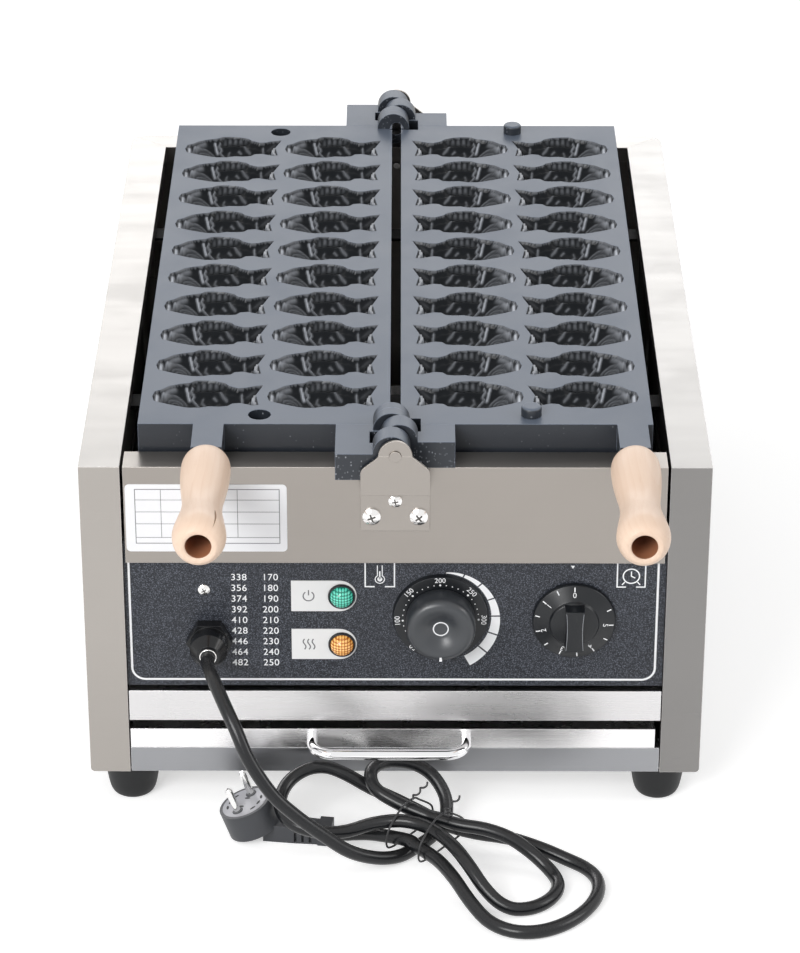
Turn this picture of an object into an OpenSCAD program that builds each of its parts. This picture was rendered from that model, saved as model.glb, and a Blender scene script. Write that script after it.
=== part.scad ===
/* [Housing] */
// Width of the housing across the two side casings
body_w = 414; // [400:1:440]
// Depth of the housing from its front face to its rear face
body_d = 560; // [552:1:590]
// Height of the housing from its lower edge to its rim
body_h = 234; // [230:1:250]
// Width of the side rims and of the front columns
rim_w = 27; // [22:1:30]
// Width of the rear rim
rear_rim_w = 23; // [18:1:24]
// Thickness of the steel sheet
sheet_t = 1.5; // [1:0.1:2]
// Radius of the two rear corners, seen from above
rear_corner_r = 12; // [6:1:18]
// Radius of the lower outer corner of each front column
column_corner_r = 3; // [2:1:12]
// Depth of the return bent back along each front column
column_return_d = 12; // [8:1:13]
// Height of the rubber feet
foot_h = 25; // [18:1:40]
// Diameter of a foot where it meets the housing
foot_top_d = 38; // [30:1:38]
// Diameter of a foot where it stands
foot_base_d = 29; // [22:1:30]

/* [Front] */
// Height of the front cover
cover_h = 71.3; // [68:0.1:74]
// Gap between the front cover and each column
cover_gap = 2; // [1:0.5:3]
// Depth of the flange on top of the front cover
cover_flange_d = 22; // [16:1:22]
// Distance that the control panel lies behind the front face
panel_inset = 4; // [3:0.5:6]
// Gap between the rails and each column
rail_gap = 0.8; // [0.5:0.1:1]
// Gap between the lower edge of the control panel and the front rail
panel_foot_gap = 2.2; // [1:0.1:3]
// Height of the top edge of the front rail
front_rail_z = 64; // [60:0.5:66]
// Height of the front rail
front_rail_h = 23; // [20:0.5:24]
// Height of the top edge of the lower rail
lower_rail_z = 19.2; // [16:0.1:20]

/* [Crumb tray] */
// Width of the crumb tray
tray_w = 355; // [340:1:356]
// Sideways offset of the crumb tray between the columns
tray_x = -1.5; // [-1.5:0.5:1.5]
// Height of the front of the crumb tray
tray_front_h = 14.6; // [12:0.1:16]
// Depth of the crumb tray
tray_d = 525; // [400:5:530]
// Distance between the two ends of the tray handle
handle_span = 104; // [80:1:130]
// Diameter of the bar of the tray handle
handle_bar_d = 7.5; // [6:0.5:8]
// Distance that the tray handle stands forward
handle_reach = 25; // [20:1:32]

/* [Mould plates] */
// Distance of the ends of a mould plate behind the faces of the housing
plate_inset = 25; // [25:1:30]
// Gap between the side of a mould plate and the side rim
plate_side_gap = 11; // [9:1:14]
// Gap between the two plates along the hinge
plate_gap = 7; // [5:0.5:9]
// Thickness of a mould plate
plate_t = 26; // [24:1:30]
// Distance that the plates stand above the rim
plate_rise = 19; // [17:0.5:21]
// Gap between the faces of the closed plates
closed_gap = 0.8; // [0.6:0.1:1.2]
// Number of rows of cavities
rows = 10; // [8:1:10]
// Plain margin before the first row and after the last row
row_margin = 20; // [18:0.5:24]
// Distance from the hinge line to the first tail
first_tail = 11.8; // [11:0.1:13]
// Plain margin between the outer mouths and the side of a plate
mouth_margin = 7.2; // [6:0.1:9]
// Distance between a mouth and the next tail in a row
column_wall = 3; // [2.5:0.1:5]
// Distance between one row and the next, across the fins
row_wall = 6; // [4:0.5:8]
// Depth of the rim of a cavity
fin_depth = 6; // [4:0.5:7]
// Full depth of a cavity
cavity_depth = 12; // [9:0.5:14]
// Diameter of the locating pegs
peg_d = 13.5; // [10:0.5:14]
// Height of the locating pegs
peg_h = 7; // [5:0.5:9]
// Clearance around a locating peg in its hole
peg_clearance = 0.75; // [0.5:0.05:1]
// Distance of the pegs beyond the tails of the outer column
peg_shift = 1.2; // [0:0.1:2.5]
// Distance of the pegs from the ends of a plate
peg_inset = 13.5; // [12:0.5:14]

/* [Hinges] */
// Diameter of the hinge pins
pin_d = 10; // [8:0.5:11]
// Clearance between a hinge pin and the bore around it
pin_clearance = 0.05; // [0.03:0.01:0.08]
// Outer radius of the hinge knuckles
knuckle_r = 12.2; // [11:0.1:13]
// Distance that a knuckle is set over towards its own plate
knuckle_shift = 2.5; // [0:0.1:3]
// Gap between neighbouring knuckles
knuckle_gap = 2.25; // [1:0.05:3]
// Length of the third knuckle
knuckle_l = 15; // [14:0.5:16]
// Distance from the hinge line to the outer edge of a hinge lug
lug_reach = 39; // [36:1:42]
// Thickness of the hinge brackets
bracket_t = 2; // [1.5:0.1:2.5]
// Diameter of the thinner end of a hinge pin in the ear of its bracket
pin_tip_d = 7.8; // [6:0.1:8]
// Radius of the ear of a hinge bracket around the pin
ear_r = 11; // [9.5:0.5:12]
// Width of the hinge brackets
bracket_w = 45; // [42:1:50]
// Diameter of the bracket screws
bracket_screw_d = 5; // [4:0.5:6]
// Diameter of the heads of the bracket screws
bracket_head_d = 12; // [10:0.5:12]

/* [Handles] */
// Distance of the left handle from the side of its plate
left_arm_inset = 46.5; // [45:0.5:51]
// Distance of the right handle from the side of its plate
right_arm_inset = 13.5; // [11:0.5:15]
// Width of a handle arm
arm_w = 20; // [18:1:22]
// Distance of the grip's middle line below the top of the plate
grip_drop = 12.2; // [11:0.1:18]
// Length of a wooden grip
grip_l = 112; // [100:1:125]
// Diameter of the rod through a grip
rod_d = 8; // [6:0.5:9]
// Diameter of the hole in the front end of a grip
grip_bore_d = 16.6; // [15:0.1:18]
// Depth of the hole in the front end of a grip
grip_bore_l = 38; // [12:1:60]

/* [Controls] */
// Sideways place of the thermostat
thermostat_x = 30.3; // [28:0.1:34]
// Distance of the thermostat below the front cover
thermostat_drop = 42.7; // [38.7:0.5:48.7]
// Diameter of the dial behind the thermostat knob
thermostat_skirt_d = 64.4; // [60:0.2:66]
// Diameter of the thermostat knob
thermostat_cap_d = 46.5; // [42:0.5:48]
// Distance of the timer from the right column
timer_inset = 60.8; // [56:0.1:64]
// Distance of the timer below the front cover
timer_drop = 44.7; // [40.7:0.5:50.7]
// Diameter of the dial of the timer knob
timer_skirt_d = 55.7; // [52:0.1:58]
// Diameter of the shafts under the knobs
shaft_d = 6; // [5:0.5:7]
// Sideways place of the two lamps
lamp_x = -35.6; // [-37:0.1:-34]
// Distance of the upper lamp below the front cover
lamp_drop = 27.1; // [24.7:0.1:30.7]
// Distance between the two lamps
lamp_pitch = 37; // [33:0.1:38]
// Diameter of a lamp lens
lens_d = 15.5; // [14:0.5:17]
// Distance of the cable gland from the left column
gland_inset = 56; // [52:1:60]
// Distance of the cable gland below the front cover
gland_drop = 59.7; // [56.7:1:64.7]
// Diameter of the power cord
cord_d = 9.2; // [8.6:0.1:9.4]

/* [Heating] */
// Diameter of a tubular heating element
element_d = 8; // [6.5:0.5:9]
// Distance between the runs of a heating element
element_pitch = 38; // [34:1:42]
// Gap between a heating element and the plate above it
element_gap = 6; // [4:0.5:10]

/* [Hidden] */

// Places in the housing's own frame: z is 0 at its lower edge and y is 0 at its middle
half_w = body_w / 2;
front_y = -body_d / 2;
rear_y = body_d / 2;
open_x = half_w - rim_w;
open_rear_y = rear_y - rear_rim_w;
wall_x = half_w - sheet_t;
lip_h = 12;
seat = 0.3;
cut = 1;

plate_top = body_h + plate_rise;
plate_z = plate_top - plate_t;
axis_z = plate_top + closed_gap / 2;
plate_front = body_d / 2 - plate_inset;
plate_l = 2 * plate_front;
plate_inner = plate_gap / 2;
plate_reach = open_x - plate_side_gap;
row_pitch = (plate_l - 2 * row_margin) / rows;
column_pitch = (plate_reach - first_tail - mouth_margin + column_wall) / 2;
fish_l = column_pitch - column_wall;
fish_w = row_pitch - row_wall;
peg_x = first_tail + column_pitch + peg_shift;
peg_y = plate_front - peg_inset;
left_arm_x = plate_reach - left_arm_inset;
right_arm_x = plate_reach - right_arm_inset;
lug_z = body_h + seat;
// The knuckles run outward from here: left, right, left. The first begins as a collar sunk in the plates
collar_sink = 7;
collar_start = plate_front - collar_sink;
collar_end = plate_front + seat;
first_knuckle_l = knuckle_l + 1.5;
middle_knuckle_l = knuckle_l - 1;
ring_b = collar_start + first_knuckle_l + knuckle_gap;
ring_c = ring_b + middle_knuckle_l + knuckle_gap;
left_lug_end = ring_c + knuckle_l;
right_lug_end = ring_b + middle_knuckle_l;
pocket_clearance = 2;
pocket_r = knuckle_r + knuckle_shift + pocket_clearance;
bore_r = pin_d / 2 + pin_clearance;
ear_y = left_lug_end + 2;
pin_end = ear_y + bracket_t + 1;

grip_z = plate_top - grip_drop;
arm_front = body_d / 2 + 8;
grip_front = arm_front + grip_l;
rod_clearance = 0.05;

// The part's origin lies under the middle of its outline
mid_y = (pin_end - grip_front) / 2;

cover_z = body_h - cover_h;
thermostat_z = cover_z - thermostat_drop;
timer_x = open_x - timer_inset;
timer_z = cover_z - timer_drop;
power_lamp_z = cover_z - lamp_drop;
heat_lamp_z = power_lamp_z - lamp_pitch;
gland_x = gland_inset - open_x;
gland_z = cover_z - gland_drop;

panel_face = front_y + panel_inset;
panel_back = panel_face + sheet_t;
shaft_clearance = 0.05;
label_t = 0.3;

tray_z = lower_rail_z + seat;

module place() {
  translate([0, -mid_y, foot_h]) children();
}

// A solid drawn with z as the distance in front of y = at, turned to face forward
module facing_front(x, at, z) {
  translate([x, at, z]) rotate([90, 0, 0]) children();
}

module facing_rear(x, at, z) {
  translate([x, at, z]) rotate([-90, 0, 0]) children();
}

function blend(a, b, c, d, t) =
  (2 * b + (c - a) * t + (2 * a - 5 * b + 4 * c - d) * t * t + (3 * b - a - 3 * c + d) * t * t * t) / 2;

// Runs a smooth curve through the points of a list
function smooth(p, steps) = [
  for (i = [0 : len(p) - 2])
    for (k = [0 : steps - 1])
      blend(p[max(i - 1, 0)], p[i], p[i + 1], p[min(i + 2, len(p) - 1)], k / steps),
  p[len(p) - 1]
];

// Outline of the housing from above, drawn in by inset, with round rear corners
module body_plan(inset) {
  r = rear_corner_r - inset;
  union() {
    translate([inset - half_w, front_y + inset])
      square([body_w - 2 * inset, body_d - inset - rear_corner_r]);
    translate([rear_corner_r - half_w, front_y + inset])
      square([body_w - 2 * rear_corner_r, body_d - 2 * inset]);
    for (side = [-1, 1])
      translate([side * (half_w - rear_corner_r), rear_y - rear_corner_r]) circle(r, $fn = 64);
  }
}

module side_rim_plan() {
  intersection() {
    body_plan(0);
    polygon([[open_x, front_y], [half_w + cut, front_y], [half_w + cut, rear_y + cut * rear_rim_w / rim_w],
      [open_x, open_rear_y]]);
  }
}

module rear_rim_plan() {
  intersection() {
    body_plan(0);
    polygon([[-open_x, open_rear_y], [open_x, open_rear_y], [half_w + cut, rear_y + cut * rear_rim_w / rim_w],
      [-half_w - cut, rear_y + cut * rear_rim_w / rim_w]]);
  }
}

foot_inset_x = 27.2;
foot_inset_y = 19;
foot_x = half_w - foot_inset_x;
foot_y = body_d / 2 - foot_inset_y;
foot_screw_d = 5;

module at_feet() {
  for (x = [-foot_x, foot_x])
    for (y = [-foot_y, foot_y])
      translate([x, y, 0]) children();
}

bottom_flange_w = 44;

rear_screw_z = [30, body_h - 30];
rear_screw_x = open_x + 5;
casing_screw_d = 4;

// The right side casing: wall, rim, front column, rear flange and lower flange in one folded sheet
module side_casing() {
  difference() {
    union() {
      linear_extrude(body_h - sheet_t)
        intersection() {
          difference() {
            body_plan(0);
            body_plan(sheet_t);
          }
          translate([open_x, front_y]) square([rim_w, body_d]);
        }
      translate([0, 0, body_h - sheet_t]) linear_extrude(sheet_t) side_rim_plan();
      translate([open_x, front_y, body_h - lip_h])
        cube([sheet_t, body_d - rear_rim_w, lip_h]);
      translate([open_x, front_y, 0]) cube([sheet_t, column_return_d, body_h]);
      linear_extrude(sheet_t)
        intersection() {
          body_plan(0);
          translate([half_w - bottom_flange_w, front_y + column_return_d])
            square([bottom_flange_w, body_d]);
        }
    }
    translate([half_w - column_corner_r, front_y - cut, 0])
      difference() {
        translate([0, 0, -cut]) cube([column_corner_r + cut, column_corner_r + cut, column_corner_r + cut]);
        translate([0, 0, column_corner_r]) rotate([-90, 0, 0])
          cylinder(r = column_corner_r, h = column_corner_r + 2 * cut, $fn = 48);
      }
    at_feet() translate([0, 0, -cut])
      cylinder(d = foot_screw_d + 2 * shaft_clearance, h = sheet_t + 2 * cut, $fn = 32);
    for (z = rear_screw_z)
      facing_front(rear_screw_x, rear_y + cut, z)
        cylinder(d = casing_screw_d + 2 * shaft_clearance, h = sheet_t + 2 * cut, $fn = 32);
  }
}

module left_side_casing() {
  color("silver") place() mirror([1, 0, 0]) side_casing();
}

module right_side_casing() {
  color("silver") place() side_casing();
}

// The rear panel lies flush between the flanges of the side casings and laps behind them
module rear_casing() {
  lap = rim_w / 2;
  color("silver") place() difference() {
    union() {
      translate([-open_x, rear_y - sheet_t, sheet_t]) cube([2 * open_x, sheet_t, body_h - sheet_t]);
      for (x = [-open_x - lap, open_x - lap])
        translate([x, rear_y - 2 * sheet_t, 2 * sheet_t])
          cube([2 * lap, sheet_t, body_h - 3 * sheet_t]);
      translate([0, 0, body_h - sheet_t]) linear_extrude(sheet_t) rear_rim_plan();
      translate([-open_x, open_rear_y, body_h - lip_h]) cube([2 * open_x, sheet_t, lip_h]);
    }
    for (z = rear_screw_z)
      for (x = [-rear_screw_x, rear_screw_x])
        facing_front(x, rear_y + cut, z)
          cylinder(d = casing_screw_d + 2 * shaft_clearance, h = 4 * sheet_t, $fn = 32);
    hinge_screw_holes(-1);
  }
}

// The base lies on the lower flanges of the side casings
module base_plate() {
  slot_l = 60;
  slot_w = 5;
  color("silver") place() difference() {
    translate([0, 0, sheet_t]) linear_extrude(sheet_t) {
      intersection() {
        body_plan(sheet_t);
        translate([-half_w, front_y + column_return_d])
          square([body_w, body_d - column_return_d - 2 * sheet_t]);
      }
      translate([-open_x, front_y + sheet_t]) square([2 * open_x, column_return_d]);
    }
    for (y = [-160 : 40 : 200])
      for (x = [-60, 60])
        translate([x - slot_l / 2, y - slot_w / 2, 0]) cube([slot_l, slot_w, 4 * sheet_t]);
    at_feet() cylinder(d = foot_screw_d + 2 * shaft_clearance, h = 4 * sheet_t, $fn = 32);
  }
}

cover_half = open_x - cover_gap;

// The front cover hangs before the control panel, with a flange on top
module front_cover() {
  color("gainsboro") place() difference() {
    union() {
      translate([-cover_half, front_y, cover_z])
        cube([2 * cover_half, sheet_t, body_h - cover_z]);
      translate([-cover_half, front_y, body_h - sheet_t])
        cube([2 * cover_half, cover_flange_d, sheet_t]);
      translate([-cover_half, front_y + cover_flange_d - sheet_t, body_h - lip_h])
        cube([2 * cover_half, sheet_t, lip_h]);
      translate([-cover_half, front_y, cover_z]) cube([2 * cover_half, panel_inset, sheet_t]);
    }
    hinge_screw_holes(1);
  }
}

label_w = 106;
label_h = 50;
label_inset = 1;
label_rise = 8.7;

module rating_label() {
  r = 3;
  x0 = -cover_half + label_inset;
  z0 = cover_z + label_rise;
  color("white") place() translate([x0, front_y, z0]) rotate([90, 0, 0]) linear_extrude(label_t) {
    translate([r, 0]) square([label_w - 2 * r, label_h]);
    translate([0, r]) square([label_w, label_h - 2 * r]);
    for (x = [r, label_w - r])
      for (y = [r, label_h - r])
        translate([x, y]) circle(r, $fn = 32);
  }
}

panel_half = open_x - seat;
panel_lap = 14;
panel_top = cover_z + panel_lap;
panel_low = front_rail_z + panel_foot_gap;
panel_flange_d = 14;
bush_d = 10;
gland_thread_d = 20;
panel_screw_x = gland_x - 3;
panel_screw_z = gland_z + 37.4;
panel_screw_d = 4;
lamp_hole_d = lens_d - 3;

module control_panel() {
  color("#2b2b2e") place() difference() {
    union() {
      translate([-panel_half, panel_face, panel_low])
        cube([2 * panel_half, sheet_t, panel_top - panel_low]);
      translate([-panel_half, panel_face, panel_top - sheet_t])
        cube([2 * panel_half, panel_flange_d, sheet_t]);
    }
    for (p = [[thermostat_x, thermostat_z], [timer_x, timer_z]])
      facing_front(p[0], panel_back + cut, p[1])
        cylinder(d = bush_d + 2 * shaft_clearance, h = sheet_t + 2 * cut, $fn = 48);
    for (z = [power_lamp_z, heat_lamp_z])
      facing_front(lamp_x, panel_back + cut, z)
        cylinder(d = lamp_hole_d + 2 * shaft_clearance, h = sheet_t + 2 * cut, $fn = 48);
    facing_front(gland_x, panel_back + cut, gland_z)
      cylinder(d = gland_thread_d + 2 * shaft_clearance, h = sheet_t + 2 * cut, $fn = 48);
    facing_front(panel_screw_x, panel_back + cut, panel_screw_z)
      cylinder(d = panel_screw_d + 2 * shaft_clearance, h = sheet_t + 2 * cut, $fn = 32);
  }
}

rail_half = open_x - rail_gap;

// A rail between the columns: a face with a flange bent back along its top, or along both edges
module rail(top_z, h, both) {
  translate([-rail_half, front_y, top_z - h]) cube([2 * rail_half, sheet_t, h]);
  translate([-rail_half, front_y, top_z - sheet_t]) cube([2 * rail_half, column_return_d, sheet_t]);
  if (both)
    translate([-rail_half, front_y, top_z - h]) cube([2 * rail_half, column_return_d, sheet_t]);
}

module front_rail() {
  color("silver") place() rail(front_rail_z, front_rail_h, true);
}

// The lower rail ends a little above the lower edge of the columns
lower_rail_lift = 0.5;

module lower_rail() {
  color("silver") place() rail(lower_rail_z, lower_rail_z - lower_rail_lift, false);
}

runner_lap = 12;
runner_l = tray_d - 40;
runner_wall_h = 14;

// Two angles on the side walls carry the edges of the tray
module tray_runners() {
  shelf = wall_x - tray_w / 2 + runner_lap;
  y0 = front_y + column_return_d + seat;
  color("silver") place() for (side = [0, 1]) mirror([side, 0, 0]) {
    translate([wall_x - shelf, y0, lower_rail_z - sheet_t]) cube([shelf, runner_l, sheet_t]);
    translate([wall_x - sheet_t, y0, lower_rail_z - sheet_t]) cube([sheet_t, runner_l, runner_wall_h]);
  }
}

tray_wall_drop = 1.5;
tray_wall_h = tray_front_h - tray_wall_drop;
tray_sheet_t = 1;
handle_x = -4;
handle_rise = 7.5;
handle_z = tray_z + handle_rise;
handle_screw_d = 4;

module crumb_tray() {
  t = tray_sheet_t;
  color("gainsboro") place() translate([tray_x - tray_w / 2, front_y, tray_z]) difference() {
    union() {
      cube([tray_w, sheet_t, tray_front_h]);
      cube([tray_w, tray_d, t]);
      for (x = [0, tray_w - t]) translate([x, 0, 0]) cube([t, tray_d, tray_wall_h]);
      translate([0, tray_d - t, 0]) cube([tray_w, t, tray_wall_h]);
    }
    for (end = [-1, 1])
      facing_front(tray_w / 2 - tray_x + handle_x + end * handle_span / 2, sheet_t + cut, handle_z - tray_z)
        cylinder(d = handle_screw_d + 2 * shaft_clearance, h = sheet_t + 2 * cut, $fn = 32);
  }
}

// The bow: two legs, two bends and the bar across
module tray_handle() {
  bend = 14;
  r = handle_bar_d / 2;
  leg = handle_reach - r - bend;
  color("gainsboro") place() translate([handle_x, front_y, handle_z]) difference() {
    union() {
      for (end = [0, 1]) mirror([end, 0, 0]) {
        facing_front(handle_span / 2, 0, 0) cylinder(r = r, h = leg, $fn = 48);
        translate([handle_span / 2 - bend, -leg, 0]) mirror([0, 1, 0])
          rotate_extrude(angle = 90, $fn = 96) translate([bend, 0]) circle(r, $fn = 48);
      }
      translate([-handle_span / 2 + bend, -leg - bend, 0]) rotate([0, 90, 0])
        cylinder(r = r, h = handle_span - 2 * bend, $fn = 48);
    }
    for (end = [-1, 1])
      facing_front(end * handle_span / 2, cut, 0)
        cylinder(d = handle_screw_d + 2 * shaft_clearance, h = 8 + cut, $fn = 32);
  }
}

// A round headed screw drawn along z: the head stands on z = 0 and the shank goes down
module pan_screw(d, head_d, head_h, l) {
  translate([0, 0, -l]) cylinder(d = d, h = l, $fn = 32);
  intersection() {
    translate([0, 0, head_h - head_d * 0.75]) sphere(r = head_d * 0.75, $fn = 64);
    cylinder(d = head_d, h = head_h + cut, $fn = 64);
  }
}

module tray_handle_screws() {
  color("gainsboro") place()
    for (end = [-1, 1])
      facing_rear(handle_x + end * handle_span / 2, front_y + sheet_t, handle_z)
        pan_screw(handle_screw_d, 7, 2.5, sheet_t + 7);
}

foot_recess_d = 13;
foot_recess_h = 10;

// Radius of a foot against the share of its height, from the top down
function foot_profile() = smooth([
  [foot_top_d / 2, 0], [foot_top_d / 2 - 1.3, -0.4 * foot_h], [foot_top_d / 2 - 2.8, -0.75 * foot_h],
  [foot_base_d / 2, -0.93 * foot_h], [foot_base_d / 2 - 2, -foot_h]], 3);

// Each foot is a turned cup, rounded where it stands, with a recess for its screw
module rubber_feet() {
  color("#202020") place() at_feet() difference() {
    rotate_extrude($fn = 64) polygon(concat([[0, -foot_h], [0, 0]], foot_profile()));
    translate([0, 0, -foot_h - cut]) cylinder(d = foot_recess_d, h = foot_recess_h + cut, $fn = 48);
    translate([0, 0, -foot_h]) cylinder(d = foot_screw_d + 2 * shaft_clearance, h = foot_h + cut, $fn = 32);
  }
}

module foot_screws() {
  nut_h = 4;
  color("silver") place() at_feet() {
    translate([0, 0, foot_recess_h - foot_h]) mirror([0, 0, 1])
      pan_screw(foot_screw_d, 10, 3.5, foot_h - foot_recess_h + 2 * sheet_t + nut_h + 2);
    translate([0, 0, 2 * sheet_t]) difference() {
      cylinder(d = 9, h = nut_h, $fn = 6);
      translate([0, 0, -cut]) cylinder(d = foot_screw_d + 2 * shaft_clearance, h = nut_h + 2 * cut, $fn = 32);
    }
  }
}

bracket_low_z = body_h - 46;
bracket_step_z = body_h - 15.5;
bracket_fold_z = body_h - 7;
bracket_screws_xz = [[-15.5, body_h - 35], [15.5, body_h - 35], [0, body_h - 23]];

module hinge_screw_holes(side) {
  for (p = bracket_screws_xz)
    facing_front(p[0], -side * (body_d / 2 - 2 * sheet_t), p[1])
      translate([0, 0, side > 0 ? 0 : -8]) cylinder(d = bracket_screw_d + 2 * shaft_clearance, h = 8, $fn = 32);
}

// Half of the outline of the ear: half width against the distance below the pin's axis
function ear_side() = smooth([
  [ear_r, 0], [ear_r + 2, 2.4], [bracket_w / 2 - 1.5, 9], [bracket_w / 2, 12.5]], 4);

// The face of the bracket seen from the front: a bell that narrows to a round ear
module bracket_face() {
  side = ear_side();
  polygon(concat([for (p = side) [p[0], axis_z - p[1]]],
    [[bracket_w / 2, bracket_low_z], [-bracket_w / 2, bracket_low_z]],
    [for (i = [len(side) - 1 : -1 : 0]) [-side[i][0], axis_z - side[i][1]]]));
  translate([0, axis_z]) circle(ear_r, $fn = 96);
}

// The bracket from the side: a flange on the cover, a step forward and the upright ear
module bracket_profile() {
  back = body_d / 2;
  ear_top = axis_z + ear_r + cut;
  polygon([[-back, bracket_low_z], [-back, bracket_step_z], [-ear_y, bracket_fold_z], [-ear_y, ear_top],
    [-ear_y - bracket_t, ear_top], [-ear_y - bracket_t, bracket_fold_z - bracket_t],
    [-back - bracket_t, bracket_step_z - bracket_t], [-back - bracket_t, bracket_low_z]]);
}

module hinge_bracket() {
  back = body_d / 2;
  difference() {
    intersection() {
      translate([-bracket_w / 2, 0, 0]) rotate([90, 0, 90]) linear_extrude(bracket_w) bracket_profile();
      facing_front(0, cut - back, 0) linear_extrude(ear_y - back + bracket_t + 2 * cut) bracket_face();
    }
    facing_front(0, -back, axis_z)
      cylinder(d = pin_tip_d + 2 * pin_clearance, h = ear_y - back + bracket_t + cut, $fn = 64);
    for (p = bracket_screws_xz)
      facing_front(p[0], -back + cut, p[1])
        cylinder(d = bracket_screw_d + 2 * shaft_clearance, h = bracket_t + 2 * cut, $fn = 32);
  }
}

module front_hinge_bracket() {
  color("silver") place() hinge_bracket();
}

module rear_hinge_bracket() {
  color("silver") place() mirror([0, 1, 0]) hinge_bracket();
}

module bracket_screws() {
  color("gainsboro") place() for (rear = [0, 1]) mirror([0, rear, 0])
    for (p = bracket_screws_xz)
      facing_front(p[0], front_y - bracket_t, p[1])
        pan_screw(bracket_screw_d, p[0] == 0 ? bracket_head_d - 3 : bracket_head_d, 3.5, bracket_t + sheet_t + 4);
}

// A pin through the knuckles, with a thinner end that sits in the ear
module hinge_pin() {
  facing_front(0, -collar_start, axis_z) {
    cylinder(d = pin_d, h = ear_y - seat - collar_start, $fn = 64);
    cylinder(d = pin_tip_d, h = pin_end - collar_start, $fn = 64);
  }
}

module front_hinge_pin() {
  color("silver") place() hinge_pin();
}

module rear_hinge_pin() {
  color("silver") place() mirror([0, 1, 0]) hinge_pin();
}

// Outline of one fish in percent of its length and width, from the mouth round the back to the tail
FISH = [[0, 42], [2, 60], [8, 67], [15, 80], [24, 87], [33, 91], [38, 99], [46, 100], [57, 97], [65, 90],
  [69, 80], [77, 72], [84, 73], [91, 79], [100, 83], [97, 66], [94, 48], [96, 22], [97, 11], [92, 9],
  [80, 18], [73, 16], [69, 7], [62, 5], [52, 6], [44, 1], [34, 1], [28, 4], [17, 12], [8, 20], [2, 26]];

// The deeper middle of the body, without fins
BODY = [[4, 40], [8, 56], [16, 69], [28, 78], [42, 80], [56, 76], [68, 66], [80, 57], [88, 54], [88, 42],
  [80, 36], [68, 28], [56, 21], [42, 18], [28, 20], [16, 26], [7, 32]];

// A fish with its tail at x = 0 and its mouth at x = fish_l
module fish(outline) {
  polygon([for (p = outline) [fish_l * (100 - p[0]) / 100, fish_w * (p[1] - 50) / 100]]);
}

module at_cavities() {
  for (row = [0 : rows - 1])
    for (column = [0, 1])
      translate([first_tail + column * column_pitch, (row - (rows - 1) / 2) * row_pitch, plate_top])
        children();
}

// A knuckle stands a little over to the side of its own plate
module knuckle(from, to) {
  facing_front(knuckle_shift, -from, axis_z) cylinder(r = knuckle_r, h = to - from, $fn = 96);
}

module hinge_bore() {
  facing_front(0, cut - collar_start, axis_z) cylinder(r = bore_r, h = pin_end - collar_start + 2 * cut, $fn = 64);
}

boss_drop = 13;
boss_z = grip_z - boss_drop;
rod_seat = 7;

// A plate lying to the right of the hinge, with its arm and its cavities
module plate_body(arm_x) {
  difference() {
    union() {
      translate([plate_inner, -plate_front, plate_z]) cube([plate_reach - plate_inner, plate_l, plate_t]);
      translate([arm_x - arm_w / 2, -arm_front, lug_z])
        cube([arm_w, arm_front - plate_front + cut, plate_top - lug_z]);
      translate([arm_x - arm_w / 2, -arm_front, boss_z])
        cube([arm_w, arm_front - body_d / 2 - 2 * seat, plate_top - boss_z]);
    }
    at_cavities() {
      translate([0, 0, -fin_depth]) linear_extrude(fin_depth + cut) fish(FISH);
      translate([0, 0, -cavity_depth]) linear_extrude(cavity_depth) fish(BODY);
    }
    facing_front(arm_x, rod_seat - arm_front, grip_z)
      cylinder(d = rod_d + 2 * rod_clearance, h = rod_seat + cut, $fn = 48);
    for (end = [0, 1]) mirror([0, end, 0]) hinge_bore();
  }
}

// A block beside the hinge from the end of the plate to the face at y = -end
module lug(end) {
  translate([plate_inner, -end, lug_z]) cube([lug_reach - plate_inner, end - plate_front, plate_top - lug_z]);
}

// Room in one plate for a knuckle of the other plate
module knuckle_pocket(from, to) {
  translate([0, -to, plate_z - cut]) cube([pocket_r, to - from, plate_t + knuckle_r]);
}

peg_seat_d = 8;
peg_seat_h = 8;
peg_hole_d = peg_d + 2 * peg_clearance;
peg_hole_h = peg_h + closed_gap + 2;

module left_mould_plate() {
  color("slategray") place() mirror([1, 0, 0]) difference() {
    plate_body(left_arm_x);
    for (y = [-peg_y, peg_y])
      translate([peg_x, y, plate_top - peg_hole_h]) cylinder(d = peg_hole_d, h = peg_hole_h + cut, $fn = 64);
  }
}

module right_mould_plate() {
  color("slategray") place() difference() {
    plate_body(right_arm_x);
    for (end = [0, 1]) mirror([0, end, 0])
      knuckle_pocket(collar_start - knuckle_gap / 2, plate_front + cut);
    for (y = [-peg_y, peg_y])
      translate([peg_x, y, plate_top - peg_seat_h])
        cylinder(d = peg_seat_d + 2 * shaft_clearance, h = peg_seat_h + cut, $fn = 48);
  }
}

// The first and the third knuckle belong to the left plate
module left_hinge_lugs() {
  color("slategray") place() mirror([1, 0, 0]) for (end = [0, 1]) mirror([0, end, 0]) difference() {
    union() {
      difference() {
        lug(left_lug_end);
        knuckle_pocket(ring_b - knuckle_gap / 2, right_lug_end + knuckle_gap / 2);
      }
      knuckle(collar_end, ring_b - knuckle_gap);
      knuckle(ring_c, left_lug_end);
    }
    hinge_bore();
  }
}

// The second knuckle belongs to the right plate
module right_hinge_lugs() {
  color("slategray") place() for (end = [0, 1]) mirror([0, end, 0]) difference() {
    union() {
      difference() {
        lug(right_lug_end);
        knuckle_pocket(plate_front - cut, ring_b - knuckle_gap / 2);
      }
      knuckle(ring_b, right_lug_end);
    }
    hinge_bore();
  }
}

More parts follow.
